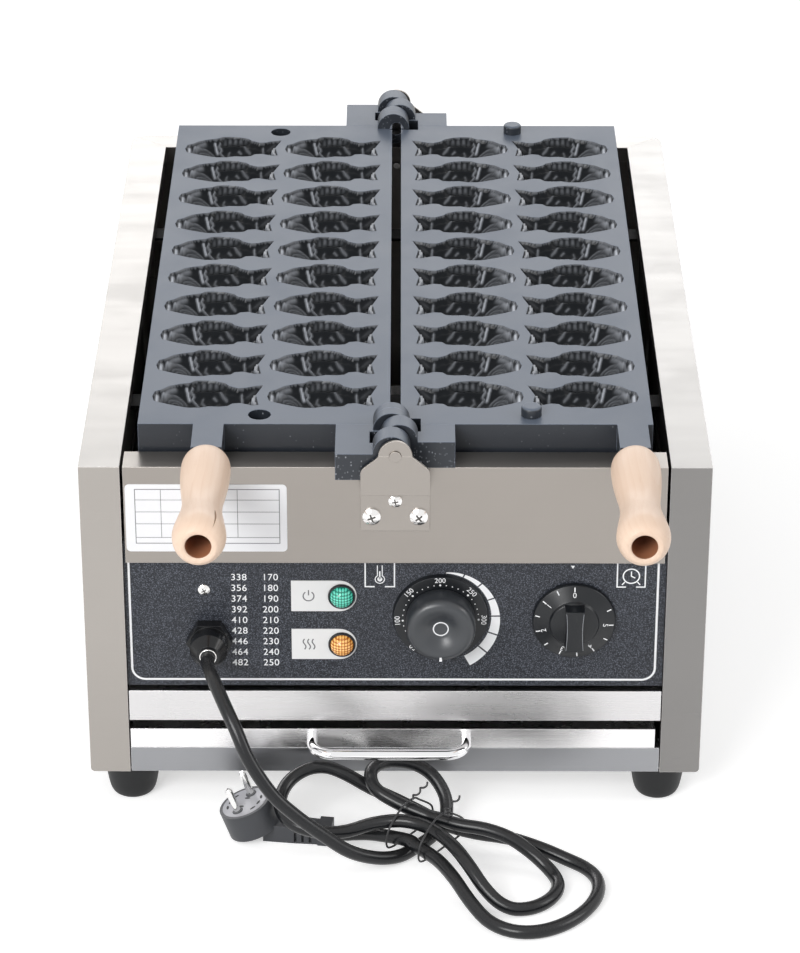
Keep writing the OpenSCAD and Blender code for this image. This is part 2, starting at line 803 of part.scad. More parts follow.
// The sunk part of the first knuckle
module left_hinge_collars() {
  color("slategray") place() mirror([1, 0, 0]) for (end = [0, 1]) mirror([0, end, 0]) difference() {
    knuckle(collar_start, collar_end);
    translate([plate_inner, -plate_front, plate_z]) cube([2 * knuckle_r, plate_l, plate_t]);
    lug(left_lug_end);
    hinge_bore();
  }
}

// Pegs with a spigot in the plate and a rounded top
module locating_pegs() {
  r = 2;
  color("slategray") place() for (y = [-peg_y, peg_y]) translate([peg_x, y, plate_top]) {
    rotate_extrude($fn = 96) {
      square([peg_d / 2, peg_h - r]);
      square([peg_d / 2 - r, peg_h]);
      translate([peg_d / 2 - r, peg_h - r]) intersection() {
        circle(r, $fn = 32);
        square(r);
      }
    }
    translate([0, 0, -peg_seat_h]) cylinder(d = peg_seat_d, h = peg_seat_h, $fn = 48);
  }
}

washer_h = 1.2;
nut_h = 6;
thread_past_nut = 1.8;
rod_reach = grip_l - grip_bore_l + washer_h + nut_h + thread_past_nut;

module handle_rod(x) {
  facing_front(x, rod_seat - arm_front, grip_z) cylinder(d = rod_d, h = rod_seat + rod_reach, $fn = 48);
}

module left_handle_rod() {
  color("gray") place() handle_rod(-left_arm_x);
}

module right_handle_rod() {
  color("gray") place() handle_rod(right_arm_x);
}

// Distance from the rear end of a grip and its radius there, drawn for a grip of this length
grip_drawn_l = 112;
GRIP = [[0, 13], [2, 15], [8, 16.1], [22, 16], [38, 14.8], [56, 13.1], [70, 13.4], [84, 15.4], [97, 17.1],
  [104, 16.4], [109, 14.4], [112, 11.6]];

// A turned grip with a hole along its middle and a counterbore for the nut
module grip(x) {
  outer = smooth([for (p = GRIP) [p[1], p[0] * grip_l / grip_drawn_l]], 3);
  facing_front(x, -arm_front, grip_z) difference() {
    rotate_extrude($fn = 96) polygon(concat([[0, 0]], outer, [[0, grip_l]]));
    translate([0, 0, -cut]) cylinder(d = rod_d + 2 * rod_clearance, h = grip_l + 2 * cut, $fn = 48);
    translate([0, 0, grip_l - grip_bore_l]) cylinder(d = grip_bore_d, h = grip_bore_l + cut, $fn = 64);
  }
}

module left_grip() {
  color("burlywood") place() grip(-left_arm_x);
}

module right_grip() {
  color("burlywood") place() grip(right_arm_x);
}

module grip_nut(x) {
  facing_front(x, -arm_front - grip_l + grip_bore_l, grip_z) difference() {
    union() {
      cylinder(d = grip_bore_d - 1, h = washer_h, $fn = 64);
      translate([0, 0, washer_h]) cylinder(d = grip_bore_d - 2, h = nut_h, $fn = 6);
    }
    translate([0, 0, -cut]) cylinder(d = rod_d + 2 * rod_clearance, h = nut_h + washer_h + 2 * cut, $fn = 48);
  }
}

module left_grip_nut() {
  color("gray") place() grip_nut(-left_arm_x);
}

module right_grip_nut() {
  color("gray") place() grip_nut(right_arm_x);
}

element_z = plate_z - element_gap - element_d / 2;
element_x = 46;
element_bend = element_pitch / 2;
rear_bend_inset = 40;
front_bend_inset = 60;
element_end_inset = 10;
element_back = plate_front - rear_bend_inset;
element_front = plate_front - front_bend_inset;
element_end = plate_front - element_end_inset;

// One element: four runs, joined at the rear, the front and the rear again, with both ends at the front
module heating_element() {
  r = element_d / 2;
  translate([element_x, 0, element_z]) {
    for (run = [0 : 3]) {
      end = run == 0 || run == 3 ? element_end : element_front;
      translate([run * element_pitch, element_back, 0]) rotate([90, 0, 0])
        cylinder(r = r, h = end + element_back, $fn = 48);
    }
    for (run = [0, 2])
      translate([run * element_pitch + element_bend, element_back, 0])
        rotate_extrude(angle = 180, $fn = 96) translate([element_bend, 0]) circle(r, $fn = 48);
    translate([element_pitch + element_bend, -element_front, 0]) mirror([0, 1, 0])
      rotate_extrude(angle = 180, $fn = 96) translate([element_bend, 0]) circle(r, $fn = 48);
  }
}

module left_heating_element() {
  color("dimgray") place() mirror([1, 0, 0]) heating_element();
}

module right_heating_element() {
  color("dimgray") place() heating_element();
}

support_w = 18;
support_t = 2;
support_tab_h = 15;
support_y = body_d / 4;
support_z = element_z - element_d / 2 - seat - support_t;

// Two flat bars from wall to wall carry the elements, with a tab down each wall
module element_supports() {
  color("silver") place() for (y = [-support_y, support_y]) {
    translate([-wall_x, y - support_w / 2, support_z]) cube([2 * wall_x, support_w, support_t]);
    for (side = [0, 1]) mirror([side, 0, 0])
      translate([wall_x - support_t, y - support_w / 2, support_z - support_tab_h])
        cube([support_t, support_w, support_tab_h]);
  }
}

box_d = 78;
box_top_gap = 12;
box_floor_z = front_rail_z - front_rail_h - sheet_t;
box_wall_y = front_y + box_d;
box_wall_top = element_z - element_d / 2 - box_top_gap;

// The wall and floor that close off the controls from the heat
module control_box_wall() {
  color("silver") place() {
    translate([-wall_x, box_wall_y, box_floor_z]) cube([2 * wall_x, sheet_t, box_wall_top - box_floor_z]);
    translate([-panel_half, front_y + 2 * sheet_t, box_floor_z])
      cube([2 * panel_half, box_wall_y - front_y - 2 * sheet_t + cut, sheet_t]);
  }
}

// A control behind the panel: its body, a threaded bush and the bore for its shaft
module control_body(x, z, w, h, d) {
  facing_rear(x, panel_back, z) difference() {
    union() {
      translate([-w / 2, -h / 2, 0]) cube([w, h, d]);
      translate([0, 0, -sheet_t]) cylinder(d = bush_d, h = sheet_t + cut, $fn = 48);
    }
    translate([0, 0, -sheet_t - cut]) cylinder(d = shaft_d + 2 * shaft_clearance, h = 14 + cut, $fn = 48);
  }
}

thermostat_depth = 34;
thermostat_size = 42;

module thermostat_body() {
  color("beige") place() control_body(thermostat_x, thermostat_z, thermostat_size, thermostat_size, thermostat_depth);
}

bulb_x = element_x + element_pitch + element_bend;
bulb_d = 6;
bulb_l = 110;
capillary_d = 2;
capillary_back = 14;
capillary_lift = 4;
capillary_run = 50;

// The capillary goes back from the thermostat and up to the bulb between the element's runs
module thermostat_bulb() {
  r = capillary_d / 2;
  start = [thermostat_x, panel_back + thermostat_depth, thermostat_z];
  knee = [thermostat_x, box_wall_y - capillary_back, thermostat_z];
  lift = box_wall_top + capillary_lift;
  color("silver") place() {
    translate(start) rotate([-90, 0, 0]) cylinder(r = r, h = knee[1] - start[1], $fn = 24);
    translate(knee) sphere(r = r, $fn = 24);
    translate(knee) cylinder(r = r, h = lift - knee[2], $fn = 24);
    translate([knee[0], knee[1], lift]) sphere(r = r, $fn = 24);
    translate([knee[0], knee[1], lift]) rotate([0, 90, 0]) cylinder(r = r, h = bulb_x - knee[0], $fn = 24);
    translate([bulb_x, knee[1], lift]) sphere(r = r, $fn = 24);
    translate([bulb_x, knee[1], lift]) rotate([-90, 0, 0]) cylinder(r = r, h = capillary_run, $fn = 24);
    translate([bulb_x, knee[1] + capillary_run, lift]) rotate([-90, 0, 0])
      cylinder(d = bulb_d, h = bulb_l, $fn = 32);
  }
}

dial_t = 3;

// The fixed ring with the scale
module thermostat_dial() {
  color("#18181a") place() facing_front(thermostat_x, panel_face, thermostat_z) difference() {
    cylinder(d1 = thermostat_skirt_d, d2 = thermostat_skirt_d - 2, h = dial_t, $fn = 128);
    translate([0, 0, -cut]) cylinder(d = bush_d + 4, h = dial_t + 2 * cut, $fn = 64);
  }
}

cap_h = 19;
knob_gap = 0.4;
knob_bore_l = 12;

// A turned cap with a dished front
module thermostat_knob() {
  r = thermostat_cap_d / 2;
  dish_r = 34;
  dish_depth = 4.5;
  color("#18181a") place() facing_front(thermostat_x, panel_face - dial_t - knob_gap, thermostat_z) difference() {
    rotate_extrude($fn = 128)
      polygon(concat([[0, 0]], smooth([[r, 0], [r, cap_h - 5], [r - 0.8, cap_h - 1.6], [r - 2.6, cap_h]], 4),
        [[0, cap_h]]));
    translate([0, 0, cap_h - dish_depth + dish_r]) sphere(r = dish_r, $fn = 128);
    translate([0, 0, -cut])
      cylinder(d = shaft_d + 2 * shaft_clearance, h = knob_bore_l + cut, $fn = 48);
  }
}

module knob_shaft(x, z, knob_back) {
  facing_front(x, panel_back + 12, z)
    cylinder(d = shaft_d, h = panel_back + 12 - knob_back + knob_bore_l - 1, $fn = 48);
}

module thermostat_shaft() {
  color("silver") place() knob_shaft(thermostat_x, thermostat_z, panel_face - dial_t - knob_gap);
}

timer_depth = 38;
timer_size = 46;

module timer_body() {
  color("beige") place() control_body(timer_x, timer_z, timer_size, timer_size, timer_depth);
}

timer_skirt_t = 5;
timer_hub_d = 33;
timer_bar_w = 13.3;
timer_bar_l = 31;
timer_bar_h = 18;

// A dial that turns with its hub and grip bar
module timer_knob() {
  r = timer_skirt_d / 2;
  color("#18181a") place() facing_front(timer_x, panel_face - knob_gap, timer_z) difference() {
    union() {
      cylinder(r1 = r, r2 = r - 1, h = timer_skirt_t - 1, $fn = 128);
      translate([0, 0, timer_skirt_t - 1]) cylinder(r1 = r - 1, r2 = r - 3.5, h = 1, $fn = 128);
      cylinder(d = timer_hub_d, h = timer_skirt_t + 3, $fn = 96);
      intersection() {
        translate([-timer_bar_w / 2, -timer_bar_l / 2, 0]) cube([timer_bar_w, timer_bar_l, timer_bar_h]);
        cylinder(d1 = timer_hub_d + 1, d2 = timer_hub_d - 3, h = timer_bar_h, $fn = 96);
      }
    }
    translate([0, 0, -cut])
      cylinder(d = shaft_d + 2 * shaft_clearance, h = knob_bore_l + cut, $fn = 48);
    // Hollow under the skirt, clear of the bush
    translate([0, 0, -cut]) cylinder(d = bush_d + 4, h = 2 + cut, $fn = 64);
  }
}

module timer_shaft() {
  color("silver") place() knob_shaft(timer_x, timer_z, panel_face - knob_gap);
}

tag_w = 43.6;
tag_h = 23.2;
tag_t = 0.6;
tag_overlap = 10;

// White tags behind the lamps, square at the left and round at the right
module lamp_tags() {
  color("white") place() for (z = [power_lamp_z, heat_lamp_z])
    facing_front(lamp_x, panel_face, z) linear_extrude(tag_t) difference() {
      union() {
        translate([tag_overlap - tag_w, -tag_h / 2]) square([tag_w - tag_h / 2, tag_h]);
        translate([tag_overlap - tag_h / 2, 0]) circle(d = tag_h, $fn = 64);
      }
      circle(d = lamp_hole_d + 2 * shaft_clearance, $fn = 48);
    }
}

lens_flange_t = 1.5;
lens_h = 6.5;

// A domed lens on the tag, with a collar through the panel
module lens(z) {
  r = lens_d / 2;
  dome = (r * r + lens_h * lens_h) / (2 * lens_h);
  facing_front(lamp_x, panel_face - tag_t, z) {
    cylinder(r = r, h = lens_flange_t, $fn = 96);
    translate([0, 0, lens_flange_t]) intersection() {
      translate([0, 0, lens_h - dome]) sphere(r = dome, $fn = 96);
      cylinder(r = r, h = lens_h + cut, $fn = 96);
    }
  }
}

module power_lamp_lens() {
  color("green") place() lens(power_lamp_z);
}

module heat_lamp_lens() {
  color("orange") place() lens(heat_lamp_z);
}

module lamp_bodies() {
  color("white") place() for (z = [power_lamp_z, heat_lamp_z])
    facing_rear(lamp_x, panel_face - tag_t, z) {
      cylinder(d = lamp_hole_d, h = tag_t + sheet_t + 24, $fn = 48);
      translate([0, 0, tag_t + sheet_t]) cylinder(d = lamp_hole_d + 5, h = 3, $fn = 48);
    }
}

gland_hex_d = 31;
gland_hex_h = 8;
gland_nut_d = 25;
gland_l = 25;
gland_taper_l = 7;
gland_thread_l = 10;
gland_relief = 6;
locknut_d = 30;
locknut_h = 5;

// The gland: thread through the panel, hexagon, and a nut that narrows around the cord
module cable_gland() {
  color("#18181a") place() facing_front(gland_x, panel_face, gland_z) difference() {
    union() {
      translate([0, 0, -sheet_t - gland_thread_l])
        cylinder(d = gland_thread_d, h = sheet_t + gland_thread_l + cut, $fn = 48);
      cylinder(d = gland_hex_d, h = gland_hex_h, $fn = 6);
      cylinder(d = gland_nut_d, h = gland_l - gland_taper_l, $fn = 64);
      translate([0, 0, gland_l - gland_taper_l])
        cylinder(d1 = gland_nut_d, d2 = cord_d + gland_relief, h = gland_taper_l, $fn = 64);
    }
    translate([0, 0, -sheet_t - gland_thread_l - cut])
      cylinder(d = cord_d + 2 * seat, h = sheet_t + gland_thread_l + cut, $fn = 48);
  }
}

module gland_locknut() {
  color("#18181a") place() facing_rear(gland_x, panel_back, gland_z) difference() {
    cylinder(d = locknut_d, h = locknut_h, $fn = 6);
    translate([0, 0, -cut])
      cylinder(d = gland_thread_d + 2 * shaft_clearance, h = locknut_h + 2 * cut, $fn = 48);
  }
}

module panel_screw() {
  color("gainsboro") place() facing_front(panel_screw_x, panel_face, panel_screw_z)
    pan_screw(panel_screw_d, 8, 2.8, sheet_t + 5);
}

terminal_size = [64, 22, 20];
terminal_at = [-20, 44];
terminals = 5;
terminal_pitch = 12;
terminal_d = 5;

// The terminal block stands on the floor of the control box, with a row of holes for wires
module terminal_block() {
  first = (terminal_size[0] - (terminals - 1) * terminal_pitch) / 2;
  color("ivory") place()
    translate([gland_x + terminal_at[0], front_y + terminal_at[1], box_floor_z + sheet_t]) difference() {
      cube(terminal_size);
      for (k = [0 : terminals - 1])
        translate([first + k * terminal_pitch, -cut, 0.6 * terminal_size[2]]) rotate([-90, 0, 0])
          cylinder(d = terminal_d, h = terminal_size[1] + 2 * cut, $fn = 32);
    }
}

module casing_screws() {
  color("gainsboro") place()
    for (z = rear_screw_z)
      for (x = [-rear_screw_x, rear_screw_x])
        facing_rear(x, rear_y, z) pan_screw(casing_screw_d, 7.5, 2.4, 2 * sheet_t + 3);
}

// The tied bundle: a lying figure of eight whose lobes swing around the waist
floor_z = -foot_h;
cord_z = floor_z + cord_d / 2;
cord_layer = cord_d + 1.2;
waist = [24, -343];
right_turn = -38;
left_turn = -16;
lobe_reach = [98, 104, 124];
lobe_bulge = [50, 44, 76];
inner_step = 6.2;
outer_step = 16.2;
left_lift = 25;
left_tilt = 20;
hank_turn = 540;
hank_step = 10;

function unit(v) = v / norm(v);

function ease(t) = let (c = max(0, min(1, t))) c * c * (3 - 2 * c);

// How far a lobe has opened, 0 at the waist and 1 at the tip
function opening(s) = (sqrt(s * s + 0.09) - 0.3) / 0.744;

// A point of the bundle: along runs out through a lobe and back, across spreads the strands
function hank_point(turn) =
  let (
    lobe = min(floor(turn / 180), 2),
    s = sin(turn),
    step = inner_step + (outer_step - inner_step) * max(0, min(1, (turn - 180) / 180)),
    along = lobe_reach[lobe] * s,
    across = cos(turn) * (step + lobe_bulge[lobe] * opening(s)),
    left = ease(-along / 70),
    a = right_turn + (left_turn - right_turn) * left,
    near = 1 - ease((abs(along) - 34) / 56),
    layer = turn < 270 ? 2 : 1,
    flat = across * cos(left_tilt * left)
  ) [
    waist[0] + along * cos(a) - flat * sin(a),
    waist[1] + along * sin(a) + flat * cos(a),
    max(cord_z, cord_z + layer * cord_layer * near + left_lift * left * (1 - near)
      + across * sin(left_tilt * left))
  ];

hank_path = [for (turn = [0 : hank_step : hank_turn]) hank_point(turn)];
hank_start = hank_path[0];
hank_end = hank_path[len(hank_path) - 1];
start_run = unit(hank_path[1] - hank_start) * cord_d;
end_run = unit(hank_end - hank_path[len(hank_path) - 2]) * cord_d;

gland_front = panel_face - gland_l;
lead_points = [[gland_x, gland_front, gland_z], [gland_x, gland_front - cord_d / 2, gland_z],
  [gland_x, gland_front - cord_d, gland_z],
  [-119, -328, 101], [-112, -345, 94], [-104, -359, 83], [-95, -369, 65], [-81, -375, 44],
  [-66, -376, 28], [-48, -374, 11], [-30, -370, -5], [-12, -362, -15.5], [3, -353, -19.9],
  [15, -341, -20.2], [26, -327, -20.1], [34, -313, -17], [34, -300, -7], [25, -290, 4],
  [11, -286.5, 11], [-6, -289.5, 14], [-16, -301, 13.5], [-13, -316, 9.5], [2, -326, 4.5],
  hank_start - start_run, hank_start];
relief_end = [-42, -327, floor_z + 6.25];
relief_turn = 171;
tail_points = [hank_end, hank_end + end_run, [-14, -335, -14.5], [-27, -329.3, -17.9],
  relief_end - cord_d * [cos(relief_turn), sin(relief_turn), 0], relief_end];

lead_path = smooth(lead_points, 2);
tail_path = smooth(tail_points, 2);
whole_path = concat(lead_path, [for (i = [1 : len(hank_path) - 1]) hank_path[i]],
  [for (i = [1 : len(tail_path) - 1]) tail_path[i]]);

function from_segment(p, a, b) =
  let (t = max(0, min(1, (p - a) * (b - a) / ((b - a) * (b - a))))) norm(p - a - t * (b - a));

// Distance between strands that lie at least six rings apart along the cord
function strand_distance(path) = min([
  for (i = [0 : len(path) - 1])
    for (j = [i + 6 : len(path) - 2])
      from_segment(path[i], path[j], path[j + 1])
]);

function path_length(path, i = 1) =
  i == len(path) ? 0 : norm(path[i] - path[i - 1]) + path_length(path, i + 1);

echo(least_gap_of_cord = strand_distance(whole_path) - cord_d);
echo(length_of_cord = path_length(whole_path));

// The direction at each point of a path, given the points before and after it
function tangents(path, before, after) = [
  for (i = [0 : len(path) - 1])
    unit((i == len(path) - 1 ? after : path[i + 1]) - (i == 0 ? before : path[i - 1]))
];

// Carries one side direction along the path without twisting it
function carried(t, side, i = 0) = i == len(t) ? [] :
  let (next = unit(side - t[i] * (side * t[i]))) concat([next], carried(t, next, i + 1));

module tube(path, before, after, d, sides) {
  t = tangents(path, before, after);
  side = carried(t, cross(t[0], [0.1, 0.2, 1]));
  last = len(path) - 1;
  polyhedron(
    points = [
      for (i = [0 : last])
        for (k = [0 : sides - 1])
          path[i] + d / 2 * (cos(k * 360 / sides) * side[i] + sin(k * 360 / sides) * cross(t[i], side[i]))
    ],
    faces = concat(
      [for (k = [1 : sides - 2]) [0, k, k + 1]],
      [for (k = [1 : sides - 2]) [last * sides, last * sides + k + 1, last * sides + k]],
      [for (i = [0 : last - 1], k = [0 : sides - 1])
        [i * sides + k, (i + 1) * sides + k, i * sides + (k + 1) % sides]],
      [for (i = [0 : last - 1], k = [0 : sides - 1])
        [i * sides + (k + 1) % sides, (i + 1) * sides + k, (i + 1) * sides + (k + 1) % sides]]
    )
  );
}

module power_cord() {
  color("#141416") place() tube(lead_path, lead_path[0], hank_path[1], cord_d, 8);
}

module cord_hank() {
  color("#141416") place() tube(hank_path, lead_path[len(lead_path) - 2], tail_path[1], cord_d, 8);
}

module cord_tail() {
  color("#141416") place() tube(tail_path, hank_path[len(hank_path) - 2], relief_end, cord_d, 8);
}

tie_d = 1.2;
tie_along = [-18, 9];
tie_outline = [[-17, -17], [17, -17], [23.5, -15.2], [25.5, -10], [22.5, -4], [11, 5.5], [5, 9.8],
  [-5, 9.8], [-12, 7], [-22, -1], [-25, -10], [-23, -15.2]];

// Two thin wire ties around the waist of the bundle
module cord_ties() {
  color("dimgray") place()
    for (along = tie_along)
      translate([waist[0], waist[1], 0]) rotate(right_turn) translate([along, 0, 0])
        rotate([90, 0, 90]) tie();
}

module tie() {
  linear_extrude(tie_d, center = true) difference() {
    polygon([for (p = tie_outline) p + tie_d / 2 * unit(p - [0, -4])]);
    polygon([for (p = tie_outline) p - tie_d / 2 * unit(p - [0, -4])]);
  }
}

plug_face = [-101, -318, -0.5];
plug_lean = -20;
plug_d = 36;
plug_side_h = 19.5;
plug_back_h = 3;
plug_back_d = 20;
plug_pin_d = 4.8;
plug_pin_pitch = 19;
plug_pin_l = 18.5;
plug_pin_seat = 6;
plug_pin_turn = 62;
relief_h = 12.5;

module at_plug_face() {
  translate(plug_face) rotate([0, plug_lean, 0]) children();
}

module at_plug_pins() {
  at_plug_face() rotate(plug_pin_turn)
    for (x = [-plug_pin_pitch / 2, plug_pin_pitch / 2])
      translate([x, 0, -plug_pin_seat]) children();
}

// The plug lies on its back and leans to the left; its ribbed strain relief runs to the right
module plug_body() {
  relief_l = 46;
  slot_w = 1.8;
  color("#2b2b2e") place() difference() {
    union() {
      at_plug_face() mirror([0, 0, 1]) {
        cylinder(d = plug_d, h = plug_side_h, $fn = 96);
        translate([0, 0, plug_side_h]) cylinder(d1 = plug_d, d2 = plug_back_d, h = plug_back_h, $fn = 96);
      }
      translate([relief_end[0], relief_end[1], floor_z]) rotate(relief_turn) {
        linear_extrude(relief_h) polygon([[0, -6], [12, -6.5], [26, -7.5], [relief_l, -8],
          [relief_l, 8], [26, 7.5], [12, 6.5], [0, 6]]);
        linear_extrude(relief_h + 1.5) translate([0, -7.5]) square([9, 15]);
      }
    }
    at_plug_pins() cylinder(d = plug_pin_d + 2 * shaft_clearance, h = plug_pin_seat + cut, $fn = 48);
    translate([relief_end[0], relief_end[1], floor_z]) rotate(relief_turn)
      for (k = [0 : 2])
        for (side = [-1, 1])
          translate([14 + 5 * k, side * 7, relief_h / 2 - 1.5 * side]) cube([slot_w, 5, relief_h - 5], center = true);
  }
}

module plug_pins() {
  color("silver") place() at_plug_pins() {
    cylinder(d = plug_pin_d, h = plug_pin_seat + plug_pin_l - 1.6, $fn = 48);
    translate([0, 0, plug_pin_seat + plug_pin_l - 1.6]) cylinder(d1 = plug_pin_d, d2 = plug_pin_d - 2.2, h = 1.6, $fn = 48);
  }
}

left_side_casing();
right_side_casing();
rear_casing();
base_plate();
front_cover();
rating_label();
control_panel();
front_rail();
lower_rail();
tray_runners();
crumb_tray();
tray_handle();
tray_handle_screws();
rubber_feet();
foot_screws();
front_hinge_bracket();
rear_hinge_bracket();
bracket_screws();
front_hinge_pin();
rear_hinge_pin();
left_mould_plate();
right_mould_plate();
left_hinge_lugs();
right_hinge_lugs();
left_hinge_collars();
locating_pegs();
left_handle_rod();
right_handle_rod();
left_grip();
right_grip();
left_grip_nut();
right_grip_nut();
left_heating_element();
right_heating_element();
element_supports();
control_box_wall();
thermostat_body();
thermostat_bulb();
thermostat_dial();
thermostat_knob();
thermostat_shaft();
timer_body();
timer_knob();
timer_shaft();
lamp_tags();
power_lamp_lens();
heat_lamp_lens();
lamp_bodies();
cable_gland();
gland_locknut();
panel_screw();
terminal_block();
casing_screws();
power_cord();
cord_hank();
cord_tail();
cord_ties();
plug_body();
plug_pins();
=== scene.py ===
# %% [markdown]
# # A taiyaki maker with two hinged mould plates
# The machine is a steel box with two cast plates that open like a book. Each plate has twenty fish-shaped
# cavities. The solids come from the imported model. This script gives them finishes, lays the power cord, and
# adds what a solid model leaves out: the relief in the cavities, print, wood grain and small screws.
# Lengths are written in millimetres in the housing's own frame, where z is 0 at the housing's lower edge
# and y is 0 at its middle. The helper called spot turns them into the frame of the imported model, in metres.

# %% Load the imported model
import math
import bmesh
import bpy
import numpy as np
from mathutils import Matrix, Vector


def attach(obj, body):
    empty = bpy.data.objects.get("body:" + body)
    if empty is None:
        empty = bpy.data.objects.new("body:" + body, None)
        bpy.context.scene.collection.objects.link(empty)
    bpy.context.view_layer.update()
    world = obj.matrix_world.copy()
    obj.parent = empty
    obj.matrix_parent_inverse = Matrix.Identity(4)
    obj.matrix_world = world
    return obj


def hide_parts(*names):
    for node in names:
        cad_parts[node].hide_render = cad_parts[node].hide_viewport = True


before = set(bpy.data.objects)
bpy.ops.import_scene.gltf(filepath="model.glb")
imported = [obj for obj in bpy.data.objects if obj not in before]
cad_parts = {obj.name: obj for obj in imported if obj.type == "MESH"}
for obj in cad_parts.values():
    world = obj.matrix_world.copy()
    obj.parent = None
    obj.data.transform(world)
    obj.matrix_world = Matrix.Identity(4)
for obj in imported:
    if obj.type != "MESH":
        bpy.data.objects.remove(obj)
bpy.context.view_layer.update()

# %% Places in the housing's own frame
MM = 0.001
MIDDLE_Y = 48.5
FOOT_H = 25.0


def spot(x, y, z):
    """A place in the housing's frame, in millimetres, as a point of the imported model, in metres."""
    return Vector((x, y + MIDDLE_Y, z + FOOT_H)) * MM


HALF_W = 207.0
FRONT_Y = -280.0
REAR_Y = 280.0
RIM_Z = 234.0
PLATE_TOP = 253.0
PANEL_Y = -276.0
print("the housing reaches from", spot(-HALF_W, FRONT_Y, 0), "to", spot(HALF_W, REAR_Y, RIM_Z))

# %% [markdown]
# ## The camera
# The view is from a little over two and a half metres away through a long lens, looking down on the plates.
# The place and the tilt were found by matching the housing's corners, so that the picture lines up with the
# real one.

# %% Camera
CAMERA_AT = (2.973, -2411.98, 1354.08)
CAMERA_PITCH = 27.855
CAMERA_YAW = 0.042
CAMERA_ROLL = -0.085
CAMERA_LENS = 139.64
SENSOR_W = 36.0
SIGHT_M = 50.0

camera = bpy.data.objects.new("camera", bpy.data.cameras.new("camera"))
bpy.context.scene.collection.objects.link(camera)
camera.data.lens = CAMERA_LENS
camera.data.sensor_width = SENSOR_W
camera.data.clip_end = SIGHT_M
camera.location = spot(*CAMERA_AT)
camera.rotation_euler = (math.radians(90 - CAMERA_PITCH), math.radians(CAMERA_ROLL), math.radians(CAMERA_YAW))
bpy.context.scene.camera = camera
print("camera at", camera.location)

# %% [markdown]
# ## Shared helpers
# Most pieces are a shape that a few lines of code work out: points in metres, and faces. A lathe turns a
# profile round an axis, a ribbon gives a line a width, and a prism gives an outline a thickness.

# %% Helpers for pieces
def place_piece(name, data, material, body, at=None):
    """Puts a mesh, a curve or a text in the scene, where it rides on a body and has a material slot."""
    piece = bpy.data.objects.new(name, data)
    bpy.context.scene.collection.objects.link(piece)
    data.materials.append(material)
    if at is not None:
        piece.matrix_world = at
    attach(piece, body)
    return piece


def shape_piece(name, shape, material, body, smooth=False, sharp=None):
    """A piece from a shape, with its normals turned outward. Edges over the angle sharp stay sharp."""
    points, faces = shape
    mesh = bpy.data.meshes.new(name)
    mesh.from_pydata([tuple(p) for p in points], [], [tuple(f) for f in faces])
    work = bmesh.new()
    work.from_mesh(mesh)
    bmesh.ops.recalc_face_normals(work, faces=work.faces)
    work.to_mesh(mesh)
    work.free()
    mesh.update()
    if smooth:
        mesh.polygons.foreach_set("use_smooth", [True] * len(mesh.polygons))
    if sharp:
        mesh.set_sharp_from_angle(angle=math.radians(sharp))
    return place_piece(name, mesh, material, body)


def wire(name, places, diameter, material, closed=False, roundness=3):
    """A round wire through a list of places in millimetres, on the housing."""
    curve = bpy.data.curves.new(name, "CURVE")
    curve.dimensions = "3D"
    curve.bevel_depth = diameter / 2 * MM
    curve.bevel_resolution = roundness
    curve.use_fill_caps = True
    line = curve.splines.new("POLY")
    line.points.add(len(places) - 1)
    for point, at in zip(line.points, places):
        point.co = (*spot(*at), 1.0)
    line.use_cyclic_u = closed
    line.use_smooth = True
    return place_piece(name, curve, material, "housing")


# %% Helpers for places and shapes
def turned_place(x, y, z, tilt, turn):
    """A matrix that carries a drawing to a place, turned in its plane and then tilted about x."""
    tilted = Matrix.Rotation(math.radians(tilt), 4, "X")
    return Matrix.Translation(spot(x, y, z)) @ tilted @ Matrix.Rotation(math.radians(turn), 4, "Z")


def facing_front(x, y, z, turn=0.0):
    """Where a drawing in x, y faces the viewer, with its z towards the viewer."""
    return turned_place(x, y, z, 90, turn)


def facing_rear(x, y, z, turn=0.0):
    """Where a drawing in x, y is seen from behind, with its z away from the viewer."""
    return turned_place(x, y, z, -90, turn)


def way(angle, r=1.0, x=0.0, y=0.0):
    """The point at a distance r from x, y, in a direction given in degrees."""
    return x + r * math.cos(math.radians(angle)), y + r * math.sin(math.radians(angle))


def bands(rings, steps):
    """The faces between closed rings of as many points each."""
    starts = [i * steps for i in range(rings - 1)]
    return [(i + k, i + (k + 1) % steps, i + steps + (k + 1) % steps, i + steps + k)
            for i in starts for k in range(steps)]


def lathe(profile, place, steps=64):
    """Points and faces of a profile of (radius, height) in millimetres, turned round z and placed."""
    points = [place @ (Vector((r * math.cos(a), r * math.sin(a), h)) * MM)
              for r, h in profile for a in np.linspace(0, 2 * math.pi, steps, endpoint=False)]
    return points, bands(len(profile), steps)


def prism(outline, low, high, place):
    """Points and faces of a closed outline in millimetres, between two heights, placed."""
    n = len(outline)
    points = [place @ (Vector((x, y, h)) * MM) for h in (low, high) for x, y in outline]
    sides = [(k, (k + 1) % n, n + (k + 1) % n, n + k) for k in range(n)]
    return points, [tuple(range(n))[::-1], tuple(range(n, 2 * n))] + sides


def together(parts):
    """Joins several (points, faces) into one."""
    points, faces = [], []
    for some_points, some_faces in parts:
        faces += [tuple(len(points) + i for i in f) for f in some_faces]
        points += list(some_points)
    return points, faces


def smooth_line(points, steps):
    """A smooth curve through a list of points."""
    p = [np.array(q, float) for q in points]
    line = []
    for i in range(len(p) - 1):
        a, b, c, d = p[max(i - 1, 0)], p[i], p[i + 1], p[min(i + 2, len(p) - 1)]
        for t in np.arange(steps) / steps:
            line.append((2 * b + (c - a) * t + (2 * a - 5 * b + 4 * c - d) * t ** 2
                         + (3 * b - a - 3 * c + d) * t ** 3) / 2)
    return line + [p[-1]]


